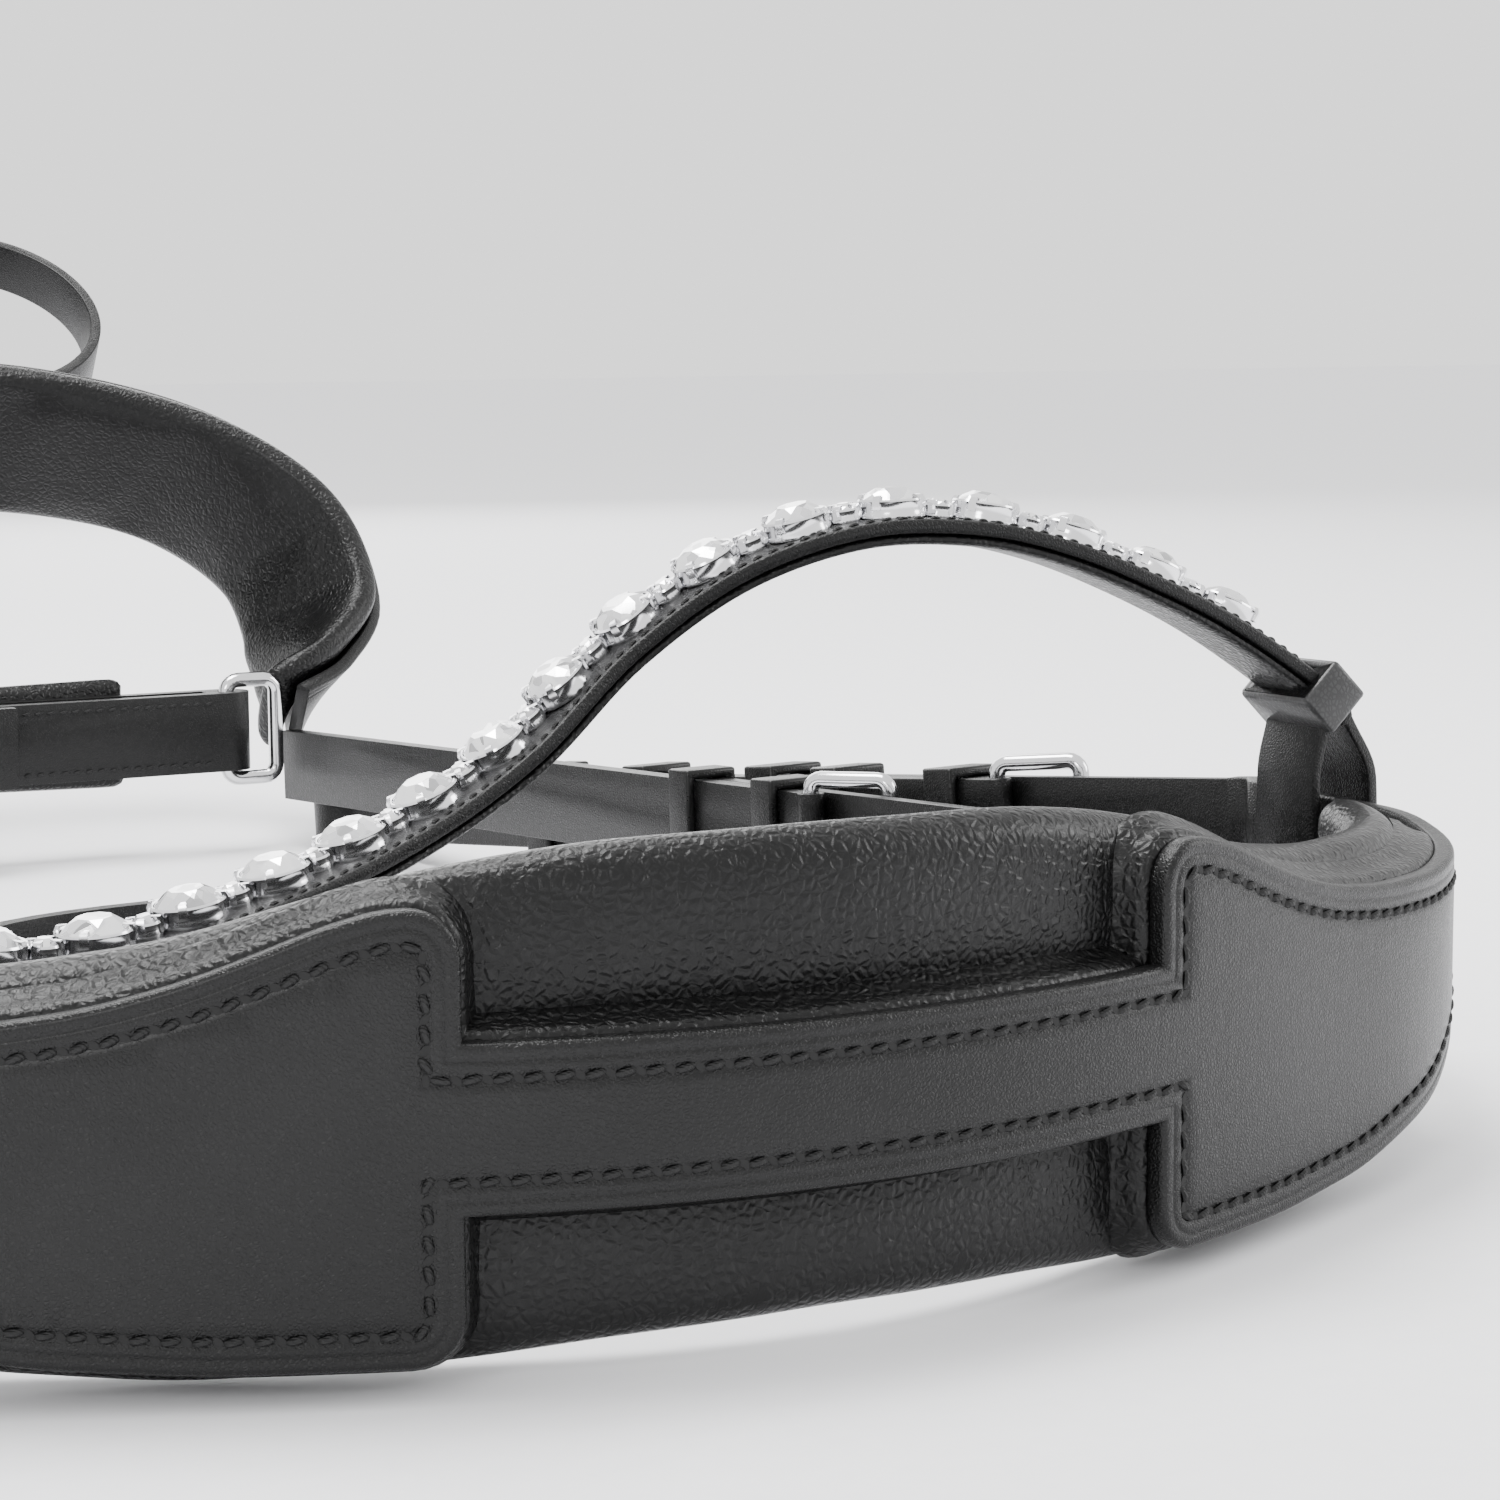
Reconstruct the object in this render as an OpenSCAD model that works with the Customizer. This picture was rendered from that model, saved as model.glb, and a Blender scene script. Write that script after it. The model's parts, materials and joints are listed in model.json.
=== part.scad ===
// A snaffle bridle without bit or reins, laid face up as on a horse that looks along +Y:
// the headpiece stands on its edge at the poll, the browband arches up over the forehead,
// the cheekpieces run back on both sides, and the noseband stands at the far end.
// The floor is z = 0, the middle of the bridle is x = 0.

/* [Headpiece] */
// Height of the headpiece strap's centre line above the floor
poll_z = 31.6; // [31.6:0.1:34]
// Width of the strap over the poll
poll_strap_w = 20; // [16:1:24]
// Half length of the narrow strap between the two lobes
poll_strap_half = 46; // [40:1:50]
// Thickness of the padded lining
pad_t = 9; // [6:0.5:9]
// Thickness of the raised filler under the leather
riser_t = 5; // [3:0.5:6]
// Thickness of the headpiece leather
leather_t = 3; // [2:0.5:3]

/* [Cheekpieces] */
// Width of a cheekpiece
cheek_w = 16; // [14:1:18]
// Length from the flex line behind the browband to the eye for the bit
cheek_len = 300; // [280:5:305]
// Slope of the cheekpiece down to the floor, in degrees
cheek_pitch = 5.5; // [3:0.1:5.5]
// Radius of the eye that holds the bit ring
bit_eye_r = 5.5; // [4.5:0.5:6]

/* [Browband] */
// Width of the browband
brow_w = 15; // [13:0.5:16]
// Distance between the centres of two large stones
stone_pitch = 15; // [15:0.5:17]
// Diameter of a large stone
stone_d = 9.2; // [8:0.2:9.2]
// Diameter of a small stone
bead_d = 3.6; // [3:0.2:3.6]

/* [Noseband] */
// Width of the nose piece at the top of the nose
nose_w = 45; // [38:1:46]
// Width of the jaw strap
jaw_w = 18; // [16:1:20]
// Width of the flash strap
flash_w = 13; // [11:1:14]

/* [Throatlatch] */
// Width of the throatlatch
throat_w = 14; // [12:1:15]

/* [Hidden] */
$fn = 40;

frame_y = -272;          // from the poll to the middle of the bridle's length
gap = 0.4;               // room between parts that move past each other
black_leather = "#242424";
lining_leather = "#2b2b2b";
steel = "#c9ccd0";
crystal = "#e8eef2";

// ---- curves and sweeps ----

// How sharply the headpiece bends, in 1/mm, at a distance along it from the poll
function bend(s) = lookup(s, [[0, 9.5], [45, 4.8], [90, 0.2], [130, 18.9], [166, 18.9], [172, 0.5],
                              [240, 0]]) / 1000;
step = 4;
reach = 200;
// Rows of distance, x, y and heading, found by walking along the bend
plan = [for (s = 0, h = 0, x = 0, y = 0; s <= reach;
             x = x + step * cos(h), y = y + step * sin(h),
             h = h + bend(s + step / 2) * step * 180 / PI, s = s + step) [s, x, y, h]];
plan_x = [for (p = plan) [p[0], p[1]]];
plan_y = [for (p = plan) [p[0], p[2]]];
plan_h = [for (p = plan) [p[0], p[3]]];
// The point at distance s from the poll, d outside the lining's outer face, and z above the centre
function on_head(s, d, z) = let (h = lookup(abs(s), plan_h), side = s < 0 ? -1 : 1)
    [side * (lookup(abs(s), plan_x) + d * sin(h)), lookup(abs(s), plan_y) - d * cos(h), poll_z + z];

// Skin over rings of points, closed into a loop or capped at both ends
module skin(rings, loop = false) {
    m = len(rings[0]);
    n = len(rings);
    walls = [for (i = [0 : n - (loop ? 1 : 2)], j = [0 : m - 1])
        [i * m + j, i * m + (j + 1) % m, ((i + 1) % n) * m + (j + 1) % m, ((i + 1) % n) * m + j]];
    caps = loop ? [] : [[for (j = [m - 1 : -1 : 0]) j], [for (j = [0 : m - 1]) (n - 1) * m + j]];
    polyhedron([for (r = rings) each r], concat(walls, caps), convexity = 8);
}

// A layer on the headpiece: rows of [distance, low z, high z], between offsets d0 and d1
module head_layer(rows, d0, d1) {
    skin([for (r = rows) [on_head(r[0], d0, r[1]), on_head(r[0], d1, r[1]),
                          on_head(r[0], d1, r[2]), on_head(r[0], d0, r[2])]]);
}

function unit(v) = v / norm(v);
function catmull(a, b, c, d, t) =
    0.5 * (2 * b + (c - a) * t + (2 * a - 5 * b + 4 * c - d) * t * t
           + (3 * b - a - 3 * c + d) * t * t * t);
// A smooth run through the rows of a list, with k steps between two rows
function smooth(p, k) = [for (i = [0 : len(p) - 2], j = [0 : k - 1])
        catmull(p[max(i - 1, 0)], p[i], p[i + 1], p[min(i + 2, len(p) - 1)], j / k),
        p[len(p) - 1]];
function mirrored(p) = [for (v = p) [-v[0], v[1], v[2], -v[3], v[4], v[5]]];
// Rows of [centre, width direction, face normal] from rows of six numbers
function frames(p) = [for (i = [0 : len(p) - 1]) let (
        c = [p[i][0], p[i][1], p[i][2]],
        a = p[max(i - 1, 0)], b = p[min(i + 1, len(p) - 1)],
        t = unit([b[0] - a[0], b[1] - a[1], b[2] - a[2]]),
        w0 = [p[i][3], p[i][4], p[i][5]],
        w = unit(w0 - (w0 * t) * t))
    [c, w, cross(t, w)]];
// A strap along frames: width w at each frame from a function's value, between offsets n0 and n1
module ribbon(f, widths, n0, n1) {
    skin([for (i = [0 : len(f) - 1]) let (c = f[i][0], b = f[i][1] * widths[i] / 2, n = f[i][2])
        [c - b + n * n1, c + b + n * n1, c + b + n * n0, c - b + n * n0]]);
}

// ---- headpiece ----

// Lower and upper edge of the leather and of the lining, by distance from the poll
lobe_high = [[54, 25.4], [59, 24.6], [66, 21.8], [76, 17.9], [88, 14.7], [102, 12.9], [120, 12.2],
             [150, 13.5], [160, 14.4], [reach, 14.4]];
lobe_low = [[54, -27.4], [75, -27.4], [96, -26], [120, -21], [140, -12], [154, -2.5], [166, -1.6],
            [reach, -1.6]];
pad_high = [[0, 31.5], [30, 31], [46, 29.2], [60, 26.6], [80, 21.4], [100, 18.4], [125, 17.4], [168, 17]];
pad_low = [[0, -27.5], [30, -28.4], [50, -30.2], [80, -31.5], [105, -29.5], [130, -25], [150, -22],
           [168, -21]];
pad_end = 166;
lobe_start = 46.5;
corner = 6;

// The lobe's edges with rounded inner corners, where the narrow strap widens into it
function corner_pull(s) = s >= lobe_start + corner ? 0
    : corner - sqrt(max(0, corner * corner - pow(lobe_start + corner - s, 2)));
function leather_rows(grow) = concat(
    [for (s = [0, 12, 24, 36, lobe_start - grow - 0.01])
        [s, -poll_strap_w / 2 - grow, poll_strap_w / 2 + grow]],
    [for (s = [0, 0.8, 2.4, 4.2, corner]) let (q = lobe_start - grow + s)
        [q, lookup(54, lobe_low) + corner_pull(q + grow) - grow,
            lookup(54, lobe_high) - corner_pull(q + grow) + grow]],
    [for (s = [59 : 5.5 : 164]) [s, lookup(s, lobe_low) - grow, lookup(s, lobe_high) + grow]]);
function both_sides(rows) = concat([for (i = [len(rows) - 1 : -1 : 1])
        [-rows[i][0], rows[i][1], rows[i][2]]], rows);

module headpiece_pad() {
    r = pad_t / 2;
    color(lining_leather) skin([for (i = [-pad_end : 8.3 : pad_end + 0.1])
        let (lo = lookup(abs(i), pad_low), hi = lookup(abs(i), pad_high), d = -2)
        [on_head(i, d - r, lo), on_head(i, d - 0.3 * r, lo + 0.3 * r), on_head(i, d, lo + r),
         on_head(i, d, hi - r), on_head(i, d - 0.3 * r, hi - 0.3 * r), on_head(i, d - r, hi),
         on_head(i, d - pad_t, hi - r), on_head(i, d - pad_t, lo + r)]]);
}

module headpiece_riser() {
    rows = [for (r = leather_rows(1.2)) if (r[0] < 140) r];
    color(black_leather) head_layer(both_sides(rows), -2, -2 + riser_t);
}

module headpiece_leather() {
    rows = concat(leather_rows(0), [for (s = [170 : 9.9 : 200]) [s, -1.6, 14.4]]);
    color(black_leather) head_layer(both_sides(rows), 3, 3 + leather_t);
}

// A strap sewn under the lining, which leaves it inwards to the noseband or the throat:
// its inner face lies at these offsets, by distance from the poll
nose_path = [[150, -14.2], [192, -19], [200, -19.9]];
throat_path = [[150, -14.2], [160, -16], [192, -27.5], [200, -30.8]];
branch_end = 192;
module under_branch(path, mid, w) {
    color(black_leather) skin([for (s = [136 : 8 : branch_end]) let (d = lookup(s, path))
        [on_head(s, d, mid - w / 2), on_head(s, d + strap_t, mid - w / 2),
         on_head(s, d + strap_t, mid + w / 2), on_head(s, d, mid + w / 2)]]);
}
nose_branch_z = 0;
throat_branch_z = -20;

// ---- straight straps, buckles and keepers, in a frame of their own ----
// Along a strap is +X, its width is Z, and its outer face looks towards -Y.

module side(s) {
    if (s > 0) children();
    else mirror([1, 0, 0]) children();
}
cheek_at = [142.9, 112.4, 38];
cheek_turn = 98.6;
module cheek_frame(s) {
    side(s) translate(cheek_at) rotate([0, cheek_pitch, cheek_turn]) children();
}
hanger_at = [121, 105.2, 31.6];
hanger_turn = 96.5;
hanger_pitch = 2.3;
module hanger_frame(s) {
    side(s) translate(hanger_at) rotate([0, hanger_pitch, hanger_turn]) children();
}
throat_at = [112.4, 105.2, 11.6];
throat_turn = 112;
module throat_frame(s) {
    side(s) translate(throat_at) rotate([0, 0, throat_turn]) children();
}

buckle_wire = 1.5;
buckle_reach = 14;       // from the bar that the tongue turns on to the front bar
bar_depth = 2.8;         // of that bar below the holed strap's inner face
front_lift = 4.8;        // of the front bar above it
buckle_tilt = atan((front_lift + bar_depth) / buckle_reach);
tongue_r = 1.1;
bar_hole = buckle_wire + 0.25;

// A strap from x0 to x1 with a pointed end and holes, inner face on y = 0
module holed_strap(x0, x1, w, t, tongue_hole, holes) {
    difference() {
        rotate([90, 0, 0]) linear_extrude(t) polygon([
            [x0, -w / 2], [x1 - w * 0.55, -w / 2], [x1 - w * 0.15, -w * 0.28], [x1, -w * 0.08],
            [x1, w * 0.08], [x1 - w * 0.15, w * 0.28], [x1 - w * 0.55, w / 2], [x0, w / 2]]);
        translate([tongue_hole - 10.5, -t - 1, -2]) cube([11, t + 2, 4]);
        for (x = holes) translate([x, 1, 0]) rotate([90, 0, 0]) cylinder(r = 1.8, h = t + 2);
    }
}

// A doubled strap whose eye at x = bar holds the buckle's bar, from there to x1
module eye_strap(bar, x1, w, t) {
    difference() {
        translate([0, 0, -w / 2]) linear_extrude(w) difference() {
            union() {
                translate([bar, bar_depth]) circle(r = bar_depth - 0.3);
                translate([bar, 0.3]) square([x1 - bar, t]);
            }
            translate([bar, bar_depth]) circle(r = bar_hole);
        }
        translate([bar - 5, -1, -2.2]) cube([9, t + 4, 4.4]);
    }
}

// A wire buckle: a bar at the origin along Z, and the frame beyond it towards -X
module buckle(w) {
    h = w / 2 + 2.6;
    rotate([0, 0, buckle_tilt]) {
        translate([0, 0, -h]) cylinder(r = buckle_wire, h = 2 * h);
        for (z = [-h, h]) {
            translate([0, 0, z]) sphere(r = buckle_wire);
            translate([-frame_len, 0, z]) sphere(r = buckle_wire);
            translate([-frame_len, 0, z]) rotate([0, 90, 0]) cylinder(r = buckle_wire, h = frame_len);
        }
        translate([-frame_len, 0, -h]) cylinder(r = buckle_wire, h = 2 * h);
    }
}
frame_len = norm([buckle_reach, front_lift + bar_depth]);

// The tongue turns on the bar and rests on the front bar
tongue_tilt = atan((buckle_wire + tongue_r + 0.05) / frame_len) + buckle_tilt;
module tongue() {
    difference() {
        union() {
            translate([0, 0, -1.8]) cylinder(r = buckle_wire + 1.2, h = 3.6);
            rotate([0, 0, tongue_tilt]) rotate([0, -90, 0]) cylinder(r = tongue_r, h = frame_len + 1.6);
        }
        translate([0, 0, -3]) cylinder(r = buckle_wire + 0.2, h = 6);
    }
}

// A band round a strap stack between y0 and y1, from x to x + len
module keeper(x, len, w, y0, y1, room) {
    t = 1.8;
    translate([x, 0, 0]) difference() {
        translate([0, y0 - room - t, -w / 2 - room - t])
            cube([len, y1 - y0 + 2 * room + 2 * t, w + 2 * room + 2 * t]);
        translate([-1, y0 - room, -w / 2 - room]) cube([len + 2, y1 - y0 + 2 * room, w + 2 * room]);
    }
}

// ---- cheekpieces ----

cheek_bar = 62;
strap_t = 3;
double_t = 5;
billet_end = cheek_len;
module cheek_point(s) {
    color(black_leather) cheek_frame(s) translate([0, 1.5, 0])
        holed_strap(0.5, 148, cheek_w, strap_t, cheek_bar, [for (i = [1 : 3]) cheek_bar + i * 20 - 2]);
}
module cheekpiece(s) {
    color(black_leather) cheek_frame(s) translate([0, 1.5, 0])
        eye_strap(cheek_bar, cheek_len - 40, cheek_w, double_t);
}
module cheek_buckle(s) {
    color(steel) cheek_frame(s) translate([cheek_bar, 1.5 + bar_depth, 0]) buckle(cheek_w);
}
module cheek_tongue(s) {
    color(steel) cheek_frame(s) translate([cheek_bar, 1.5 + bar_depth, 0]) tongue();
}
module cheek_keepers(s) {
    color(black_leather) cheek_frame(s) translate([0, 1.5, 0]) {
        keeper(cheek_bar + 8, 8, cheek_w, -strap_t, double_t + 0.3, 0.2);
        keeper(cheek_bar + 42, 8, cheek_w, -strap_t, double_t + 0.3, 0.2);
        keeper(168, 8, cheek_w, -strap_t, double_t + 0.3, 0.2);
        keeper(206, 8, cheek_w, -strap_t, double_t + 0.3, 0.2);
    }
}
module cheek_runner(s) {
    color(black_leather) cheek_frame(s) translate([0, 1.5, 0])
        keeper(cheek_bar + 62, 9, cheek_w, -strap_t, double_t + 0.3, gap);
}
// The billet is sewn on at the cheekpiece's end, turns round the bit ring and hooks on a stud
module bit_billet(s) {
    eye_wall = 3;
    eye_y = -strap_t / 2 + (double_t + 0.3) / 2 ;
    color(black_leather) cheek_frame(s) translate([0, 1.5, -cheek_w / 2]) difference() {
        union() {
            translate([cheek_len, eye_y, 0]) cylinder(r = bit_eye_r + eye_wall, h = cheek_w);
            translate([cheek_len - 39.7, 0.3, 0]) cube([38, double_t, cheek_w]);
            translate([cheek_len - 128, -strap_t, 0]) cube([126, strap_t, cheek_w]);
        }
        translate([cheek_len, eye_y, -1]) cylinder(r = bit_eye_r, h = cheek_w + 2);
        translate([cheek_len - 112, 1, cheek_w / 2]) rotate([90, 0, 0]) cylinder(r = 2.2, h = strap_t + 2);
    }
}
module hook_stud(s) {
    color(steel) cheek_frame(s) translate([cheek_len - 112, 1.5 + 0.3, 0]) rotate([90, 0, 0]) {
        cylinder(r = 1.6, h = strap_t + 0.7);
        translate([0, 0, strap_t + 0.4]) cylinder(r1 = 3.4, r2 = 2.4, h = 1.6);
    }
}

// ---- browband ----

// Centre, then width direction, from the right loop over the forehead to the left loop
brow_right = [
    [142, 97, 53.5, 0, 1, 0], [139.4, 97, 61.5, 0, 1, 0], [123, 98, 72.5, 0.03, 1, 0],
    [107, 99, 80.5, 0.06, 1, 0], [91.5, 101, 86.5, 0.08, 1, 0], [77, 103, 89.5, 0.08, 1, 0],
    [60, 106, 89.3, 0.08, 1, 0], [42, 110, 83.5, 0.04, 1, 0], [24, 111, 72.5, 0, 1, 0],
    [5, 106, 58.5, 0, 1, 0], [-18, 98, 48.5, 0, 1, 0], [-46, 87, 42, 0, 1, 0.02],
    [-72, 80, 38.8, 0, 1, 0.04], [-97, 82, 41, 0, 1, 0.04], [-116, 88, 47, 0, 1, 0.02],
    [-131, 94.5, 55, 0, 1, 0], [-139.4, 97, 59.5, 0, 1, 0], [-142, 97, 53.5, 0, 1, 0]];
brow = frames(smooth(brow_right, 3));
brow_widths = [for (f = brow) brow_w];
// Distance along the browband at each frame, and the place at a given distance
brow_run = [for (i = 0, d = 0; i < len(brow);
                 d = d + (i < len(brow) - 1 ? norm(brow[i + 1][0] - brow[i][0]) : 0), i = i + 1) d];
function brow_at(d, k, c) = lookup(d, [for (i = [0 : len(brow) - 1]) [brow_run[i], brow[i][k][c]]]);
function brow_vec(d, k) = [for (c = [0 : 2]) brow_at(d, k, c)];
brow_len = brow_run[len(brow) - 1];
brow_t = 2.2;
stone_count = 19;
stone_lift = brow_t + 0.1;
// Children stand on the browband's outer face at distance d, with +Z out of it
module on_brow(d) {
    o = brow_vec(d, 0);
    n = -unit(brow_vec(d, 2));
    b0 = brow_vec(d, 1);
    b = unit(b0 - (b0 * n) * n);
    a = cross(b, n);
    multmatrix([[a[0], b[0], n[0], o[0]], [a[1], b[1], n[1], o[1]], [a[2], b[2], n[2], o[2]],
                [0, 0, 0, 1]]) children();
}
module each_stone() {
    for (i = [0 : stone_count - 1]) on_brow(brow_len / 2 + (i - (stone_count - 1) / 2) * stone_pitch)
        children();
}
module each_bead() {
    for (i = [0 : stone_count - 2]) on_brow(brow_len / 2 + (i + 1 - stone_count / 2) * stone_pitch)
        children();
}
module browband_strap() {
    color(black_leather) ribbon(brow, brow_widths, 0, -brow_t);
}
module browband_lining() {
    inner = [for (i = [2 : len(brow) - 3]) brow[i]];
    color(lining_leather) ribbon(inner, brow_widths, 1.8, 0.4);
}
module browband_loop(s) {
    color(black_leather) side(s) translate([142.9, 97 + brow_w / 2, 0]) rotate([90, 0, 0])
        linear_extrude(brow_w) difference() {
            translate([-7.2, 25]) square([13.2, 27.2]);
            translate([-5.2, 27]) square([9.2, 23.2]);
        }
}
module browband_keepers() {
    for (d = [9, brow_len - 9]) color(lining_leather) on_brow(d) difference() {
        translate([-4, -brow_w / 2 - 1.6, -4.4]) cube([8, brow_w + 3.2, 9]);
        translate([-5, -brow_w / 2 - 0.1, -2.9]) cube([10, brow_w + 0.2, 6.0]);
    }
}
module stone_settings() {
    color(steel) {
        each_stone() translate([0, 0, stone_lift]) difference() {
            cylinder(r = stone_d / 2 + 0.5, h = 2.6);
            translate([0, 0, 0.8]) cylinder(r = stone_d / 2 + 0.05, h = 3);
        }
        each_bead() translate([0, 0, stone_lift]) difference() {
            cylinder(r = bead_d / 2 + 0.4, h = 1.9);
            translate([0, 0, 0.6]) cylinder(r = bead_d / 2 + 0.05, h = 3);
        }
    }
}
module large_stones() {
    color(crystal) each_stone() translate([0, 0, stone_lift + 0.85]) {
        cylinder(r = stone_d / 2, h = 1.9);
        translate([0, 0, 1.9]) cylinder(r1 = stone_d / 2, r2 = stone_d / 4, h = 1.7);
    }
}
module small_stones() {
    color(crystal) each_bead() translate([0, 0, stone_lift + 0.65]) {
        cylinder(r = bead_d / 2, h = 1.3);
        translate([0, 0, 1.3]) cylinder(r1 = bead_d / 2, r2 = bead_d / 4, h = 0.9);
    }
}

// ---- noseband ----

hanger_bar = 96;
hanger_end = 308;
module hanger(s) {
    color(black_leather) hanger_frame(s) translate([0, 1.5, 0])
        eye_strap(hanger_bar, hanger_end, cheek_w, double_t - 1);
}
// The branch goes on straight past the headpiece, through the buckle and two keepers
module branch_point(x1, w, bar) {
    translate([0, 1.5, 0]) holed_strap(0, x1, w, strap_t, bar, [for (i = [1 : 2]) bar + i * 20 - 2]);
}
module noseband_branch(s) {
    side(s) under_branch(nose_path, nose_branch_z, cheek_w);
    color(black_leather) hanger_frame(s) branch_point(150, cheek_w, hanger_bar);
}
module hanger_buckle(s) {
    color(steel) hanger_frame(s) translate([hanger_bar, 1.5 + bar_depth, 0]) buckle(cheek_w);
}
module hanger_tongue(s) {
    color(steel) hanger_frame(s) translate([hanger_bar, 1.5 + bar_depth, 0]) tongue();
}
module hanger_keepers(s) {
    color(black_leather) hanger_frame(s) translate([0, 1.5, 0]) {
        keeper(hanger_bar + 8, 7, cheek_w, -strap_t, double_t - 0.7, 0.2);
        keeper(hanger_bar + 36, 7, cheek_w, -strap_t, double_t - 0.7, 0.2);
    }
}

// Right half of the nose piece, from the top of the nose to its ring: centre, width direction
nose_half = [
    [0, 482, 95.5, 0, -0.6, 0.8], [38, 478.5, 94, 0.08, -0.6, 0.79], [72, 467, 85.5, 0.33, -0.7, 0.62],
    [93, 450, 70, 0.52, -0.77, 0.38], [97, 435.5, 53, 0.5, -0.82, 0.24],
    [89.5, 422, 39.5, 0.3, -0.75, 0.5], [79.5, 413.5, 31, 0.1, -0.4, 0.9]];
nose_row = concat([for (i = [len(nose_half) - 1 : -1 : 1]) mirrored(nose_half)[i]], nose_half);
nose = frames(smooth(nose_row, 8));
nose_widths = [for (i = [0 : len(nose) - 1]) let (t = abs(2 * i / (len(nose) - 1) - 1))
    nose_w * (1 - 0.12 * t) - (t > 0.72 ? (t - 0.72) * 55 : 0)];
module nose_pad() {
    color(lining_leather) skin([for (i = [0 : len(nose) - 1])
        let (c = nose[i][0], b = nose[i][1] * nose_widths[i] / 2, n = nose[i][2])
        [c - b + n * 0.5, c - b * 0.86 + n * -3, c + b * 0.86 + n * -3, c + b + n * 0.5,
         c + b * 0.86 + n * 4, c - b * 0.86 + n * 4]]);
}
module nose_leather() {
    widths = [for (w = nose_widths) w * 0.8];
    color(black_leather) ribbon(nose, widths, -4.3, -6.8);
}

ring_at = [72, 408.5, 28.5];
ring_w = 12;
ring_wire = 1.7;
module nose_ring(s) {
    h = jaw_w / 2 + 2.4;
    color(steel) side(s) translate(ring_at) {
        for (x = [-ring_w / 2, ring_w / 2]) {
            translate([x, 0, -h]) cylinder(r = ring_wire, h = 2 * h);
            for (z = [-h, h]) translate([x, 0, z]) sphere(r = ring_wire);
        }
        for (z = [-h, h]) translate([-ring_w / 2, 0, z]) rotate([0, 90, 0]) cylinder(r = ring_wire, h = ring_w);
    }
}
jaw_x = ring_at[0] - ring_w / 2;
jaw_t = 3.4;
jaw_eye = ring_wire + 0.2;
// The jaw buckle: its bar, its roller bar, and the holed point that runs between them
jaw_bar = [-22, -3.6];
jaw_front = [-42, -9.8];
jaw_buckle_len = norm(jaw_front - jaw_bar);
jaw_buckle_tilt = atan((jaw_bar[1] - jaw_front[1]) / (jaw_bar[0] - jaw_front[0]));
jaw_wire = 1.6;
jaw_roller_r = 2.9;
module jaw_at(p) {
    translate([p[0], ring_at[1] + p[1], ring_at[2]]) children();
}
// The strap turns round both rings; its point comes back from the left one, over the buckle's bar
module jaw_strap() {
    outside = jaw_eye + jaw_t;
    color(black_leather) translate([0, ring_at[1], ring_at[2] - jaw_w / 2]) difference() {
        linear_extrude(jaw_w) difference() {
            union() {
                for (x = [-jaw_x, jaw_x]) translate([x, 0]) circle(r = outside);
                translate([-jaw_x, jaw_eye]) square([2 * jaw_x, jaw_t]);
                translate([jaw_bar[0], -outside]) square([jaw_x - jaw_bar[0], jaw_t]);
                translate(jaw_bar) circle(r = jaw_t);
                polygon([[-jaw_x, -jaw_eye], [-46, -jaw_eye], [-28, -7.4], [14, -7.4], [14, -10.4],
                         [-28.8, -10.4], [-46.8, -outside], [-jaw_x, -outside]]);
            }
            for (x = [-jaw_x, jaw_x]) translate([x, 0]) circle(r = jaw_eye);
            translate(jaw_bar) circle(r = jaw_wire + 0.2);
        }
        translate([jaw_bar[0] - 16, -20, jaw_w / 2 - 2.2]) cube([20, 21, 4.4]);
    }
}
module jaw_pad() {
    w = jaw_w + 8;
    color(lining_leather) translate([-44, ring_at[1] + jaw_eye + jaw_t + 0.1, ring_at[2] - w / 2])
        cube([88, 5, w]);
}
module jaw_buckle() {
    h = jaw_w / 2 + 2.6;
    color(steel) jaw_at(jaw_bar) rotate([0, 0, jaw_buckle_tilt]) for (x = [0, -jaw_buckle_len]) {
        translate([x, 0, -h]) cylinder(r = jaw_wire, h = 2 * h);
        for (z = [-h, h]) {
            translate([-jaw_buckle_len, 0, z]) rotate([0, 90, 0]) cylinder(r = jaw_wire, h = jaw_buckle_len);
            translate([x, 0, z]) sphere(r = jaw_wire);
        }
    }
}
module jaw_roller() {
    h = jaw_w - 1.2;
    color(steel) jaw_at(jaw_front) translate([0, 0, -h / 2]) difference() {
        cylinder(r = jaw_roller_r, h = h);
        translate([0, 0, -1]) cylinder(r = jaw_wire + 0.2, h = h + 2);
    }
}
module jaw_tongue() {
    tilt = jaw_buckle_tilt + atan((jaw_roller_r + 1.15) / jaw_buckle_len);
    color(steel) jaw_at(jaw_bar) difference() {
        union() {
            translate([0, 0, -1.8]) cylinder(r = 2.9, h = 3.6);
            rotate([0, 0, tilt]) rotate([0, -90, 0]) cylinder(r = 1.1, h = jaw_buckle_len + 3.5);
        }
        translate([0, 0, -3]) cylinder(r = jaw_wire + 0.2, h = 6);
    }
}
module jaw_keepers() {
    back = jaw_eye + jaw_t + 0.2;
    color(black_leather) for (x = [-14, 1]) jaw_at([x, 0]) difference() {
        translate([0, -12.4, -jaw_w / 2 - 2.2]) cube([7, 12.4 + back - 0.2, jaw_w + 4.4]);
        translate([-1, -10.6, -jaw_w / 2 - 0.2]) cube([9, 40, jaw_w + 0.4]);
    }
}

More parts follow.
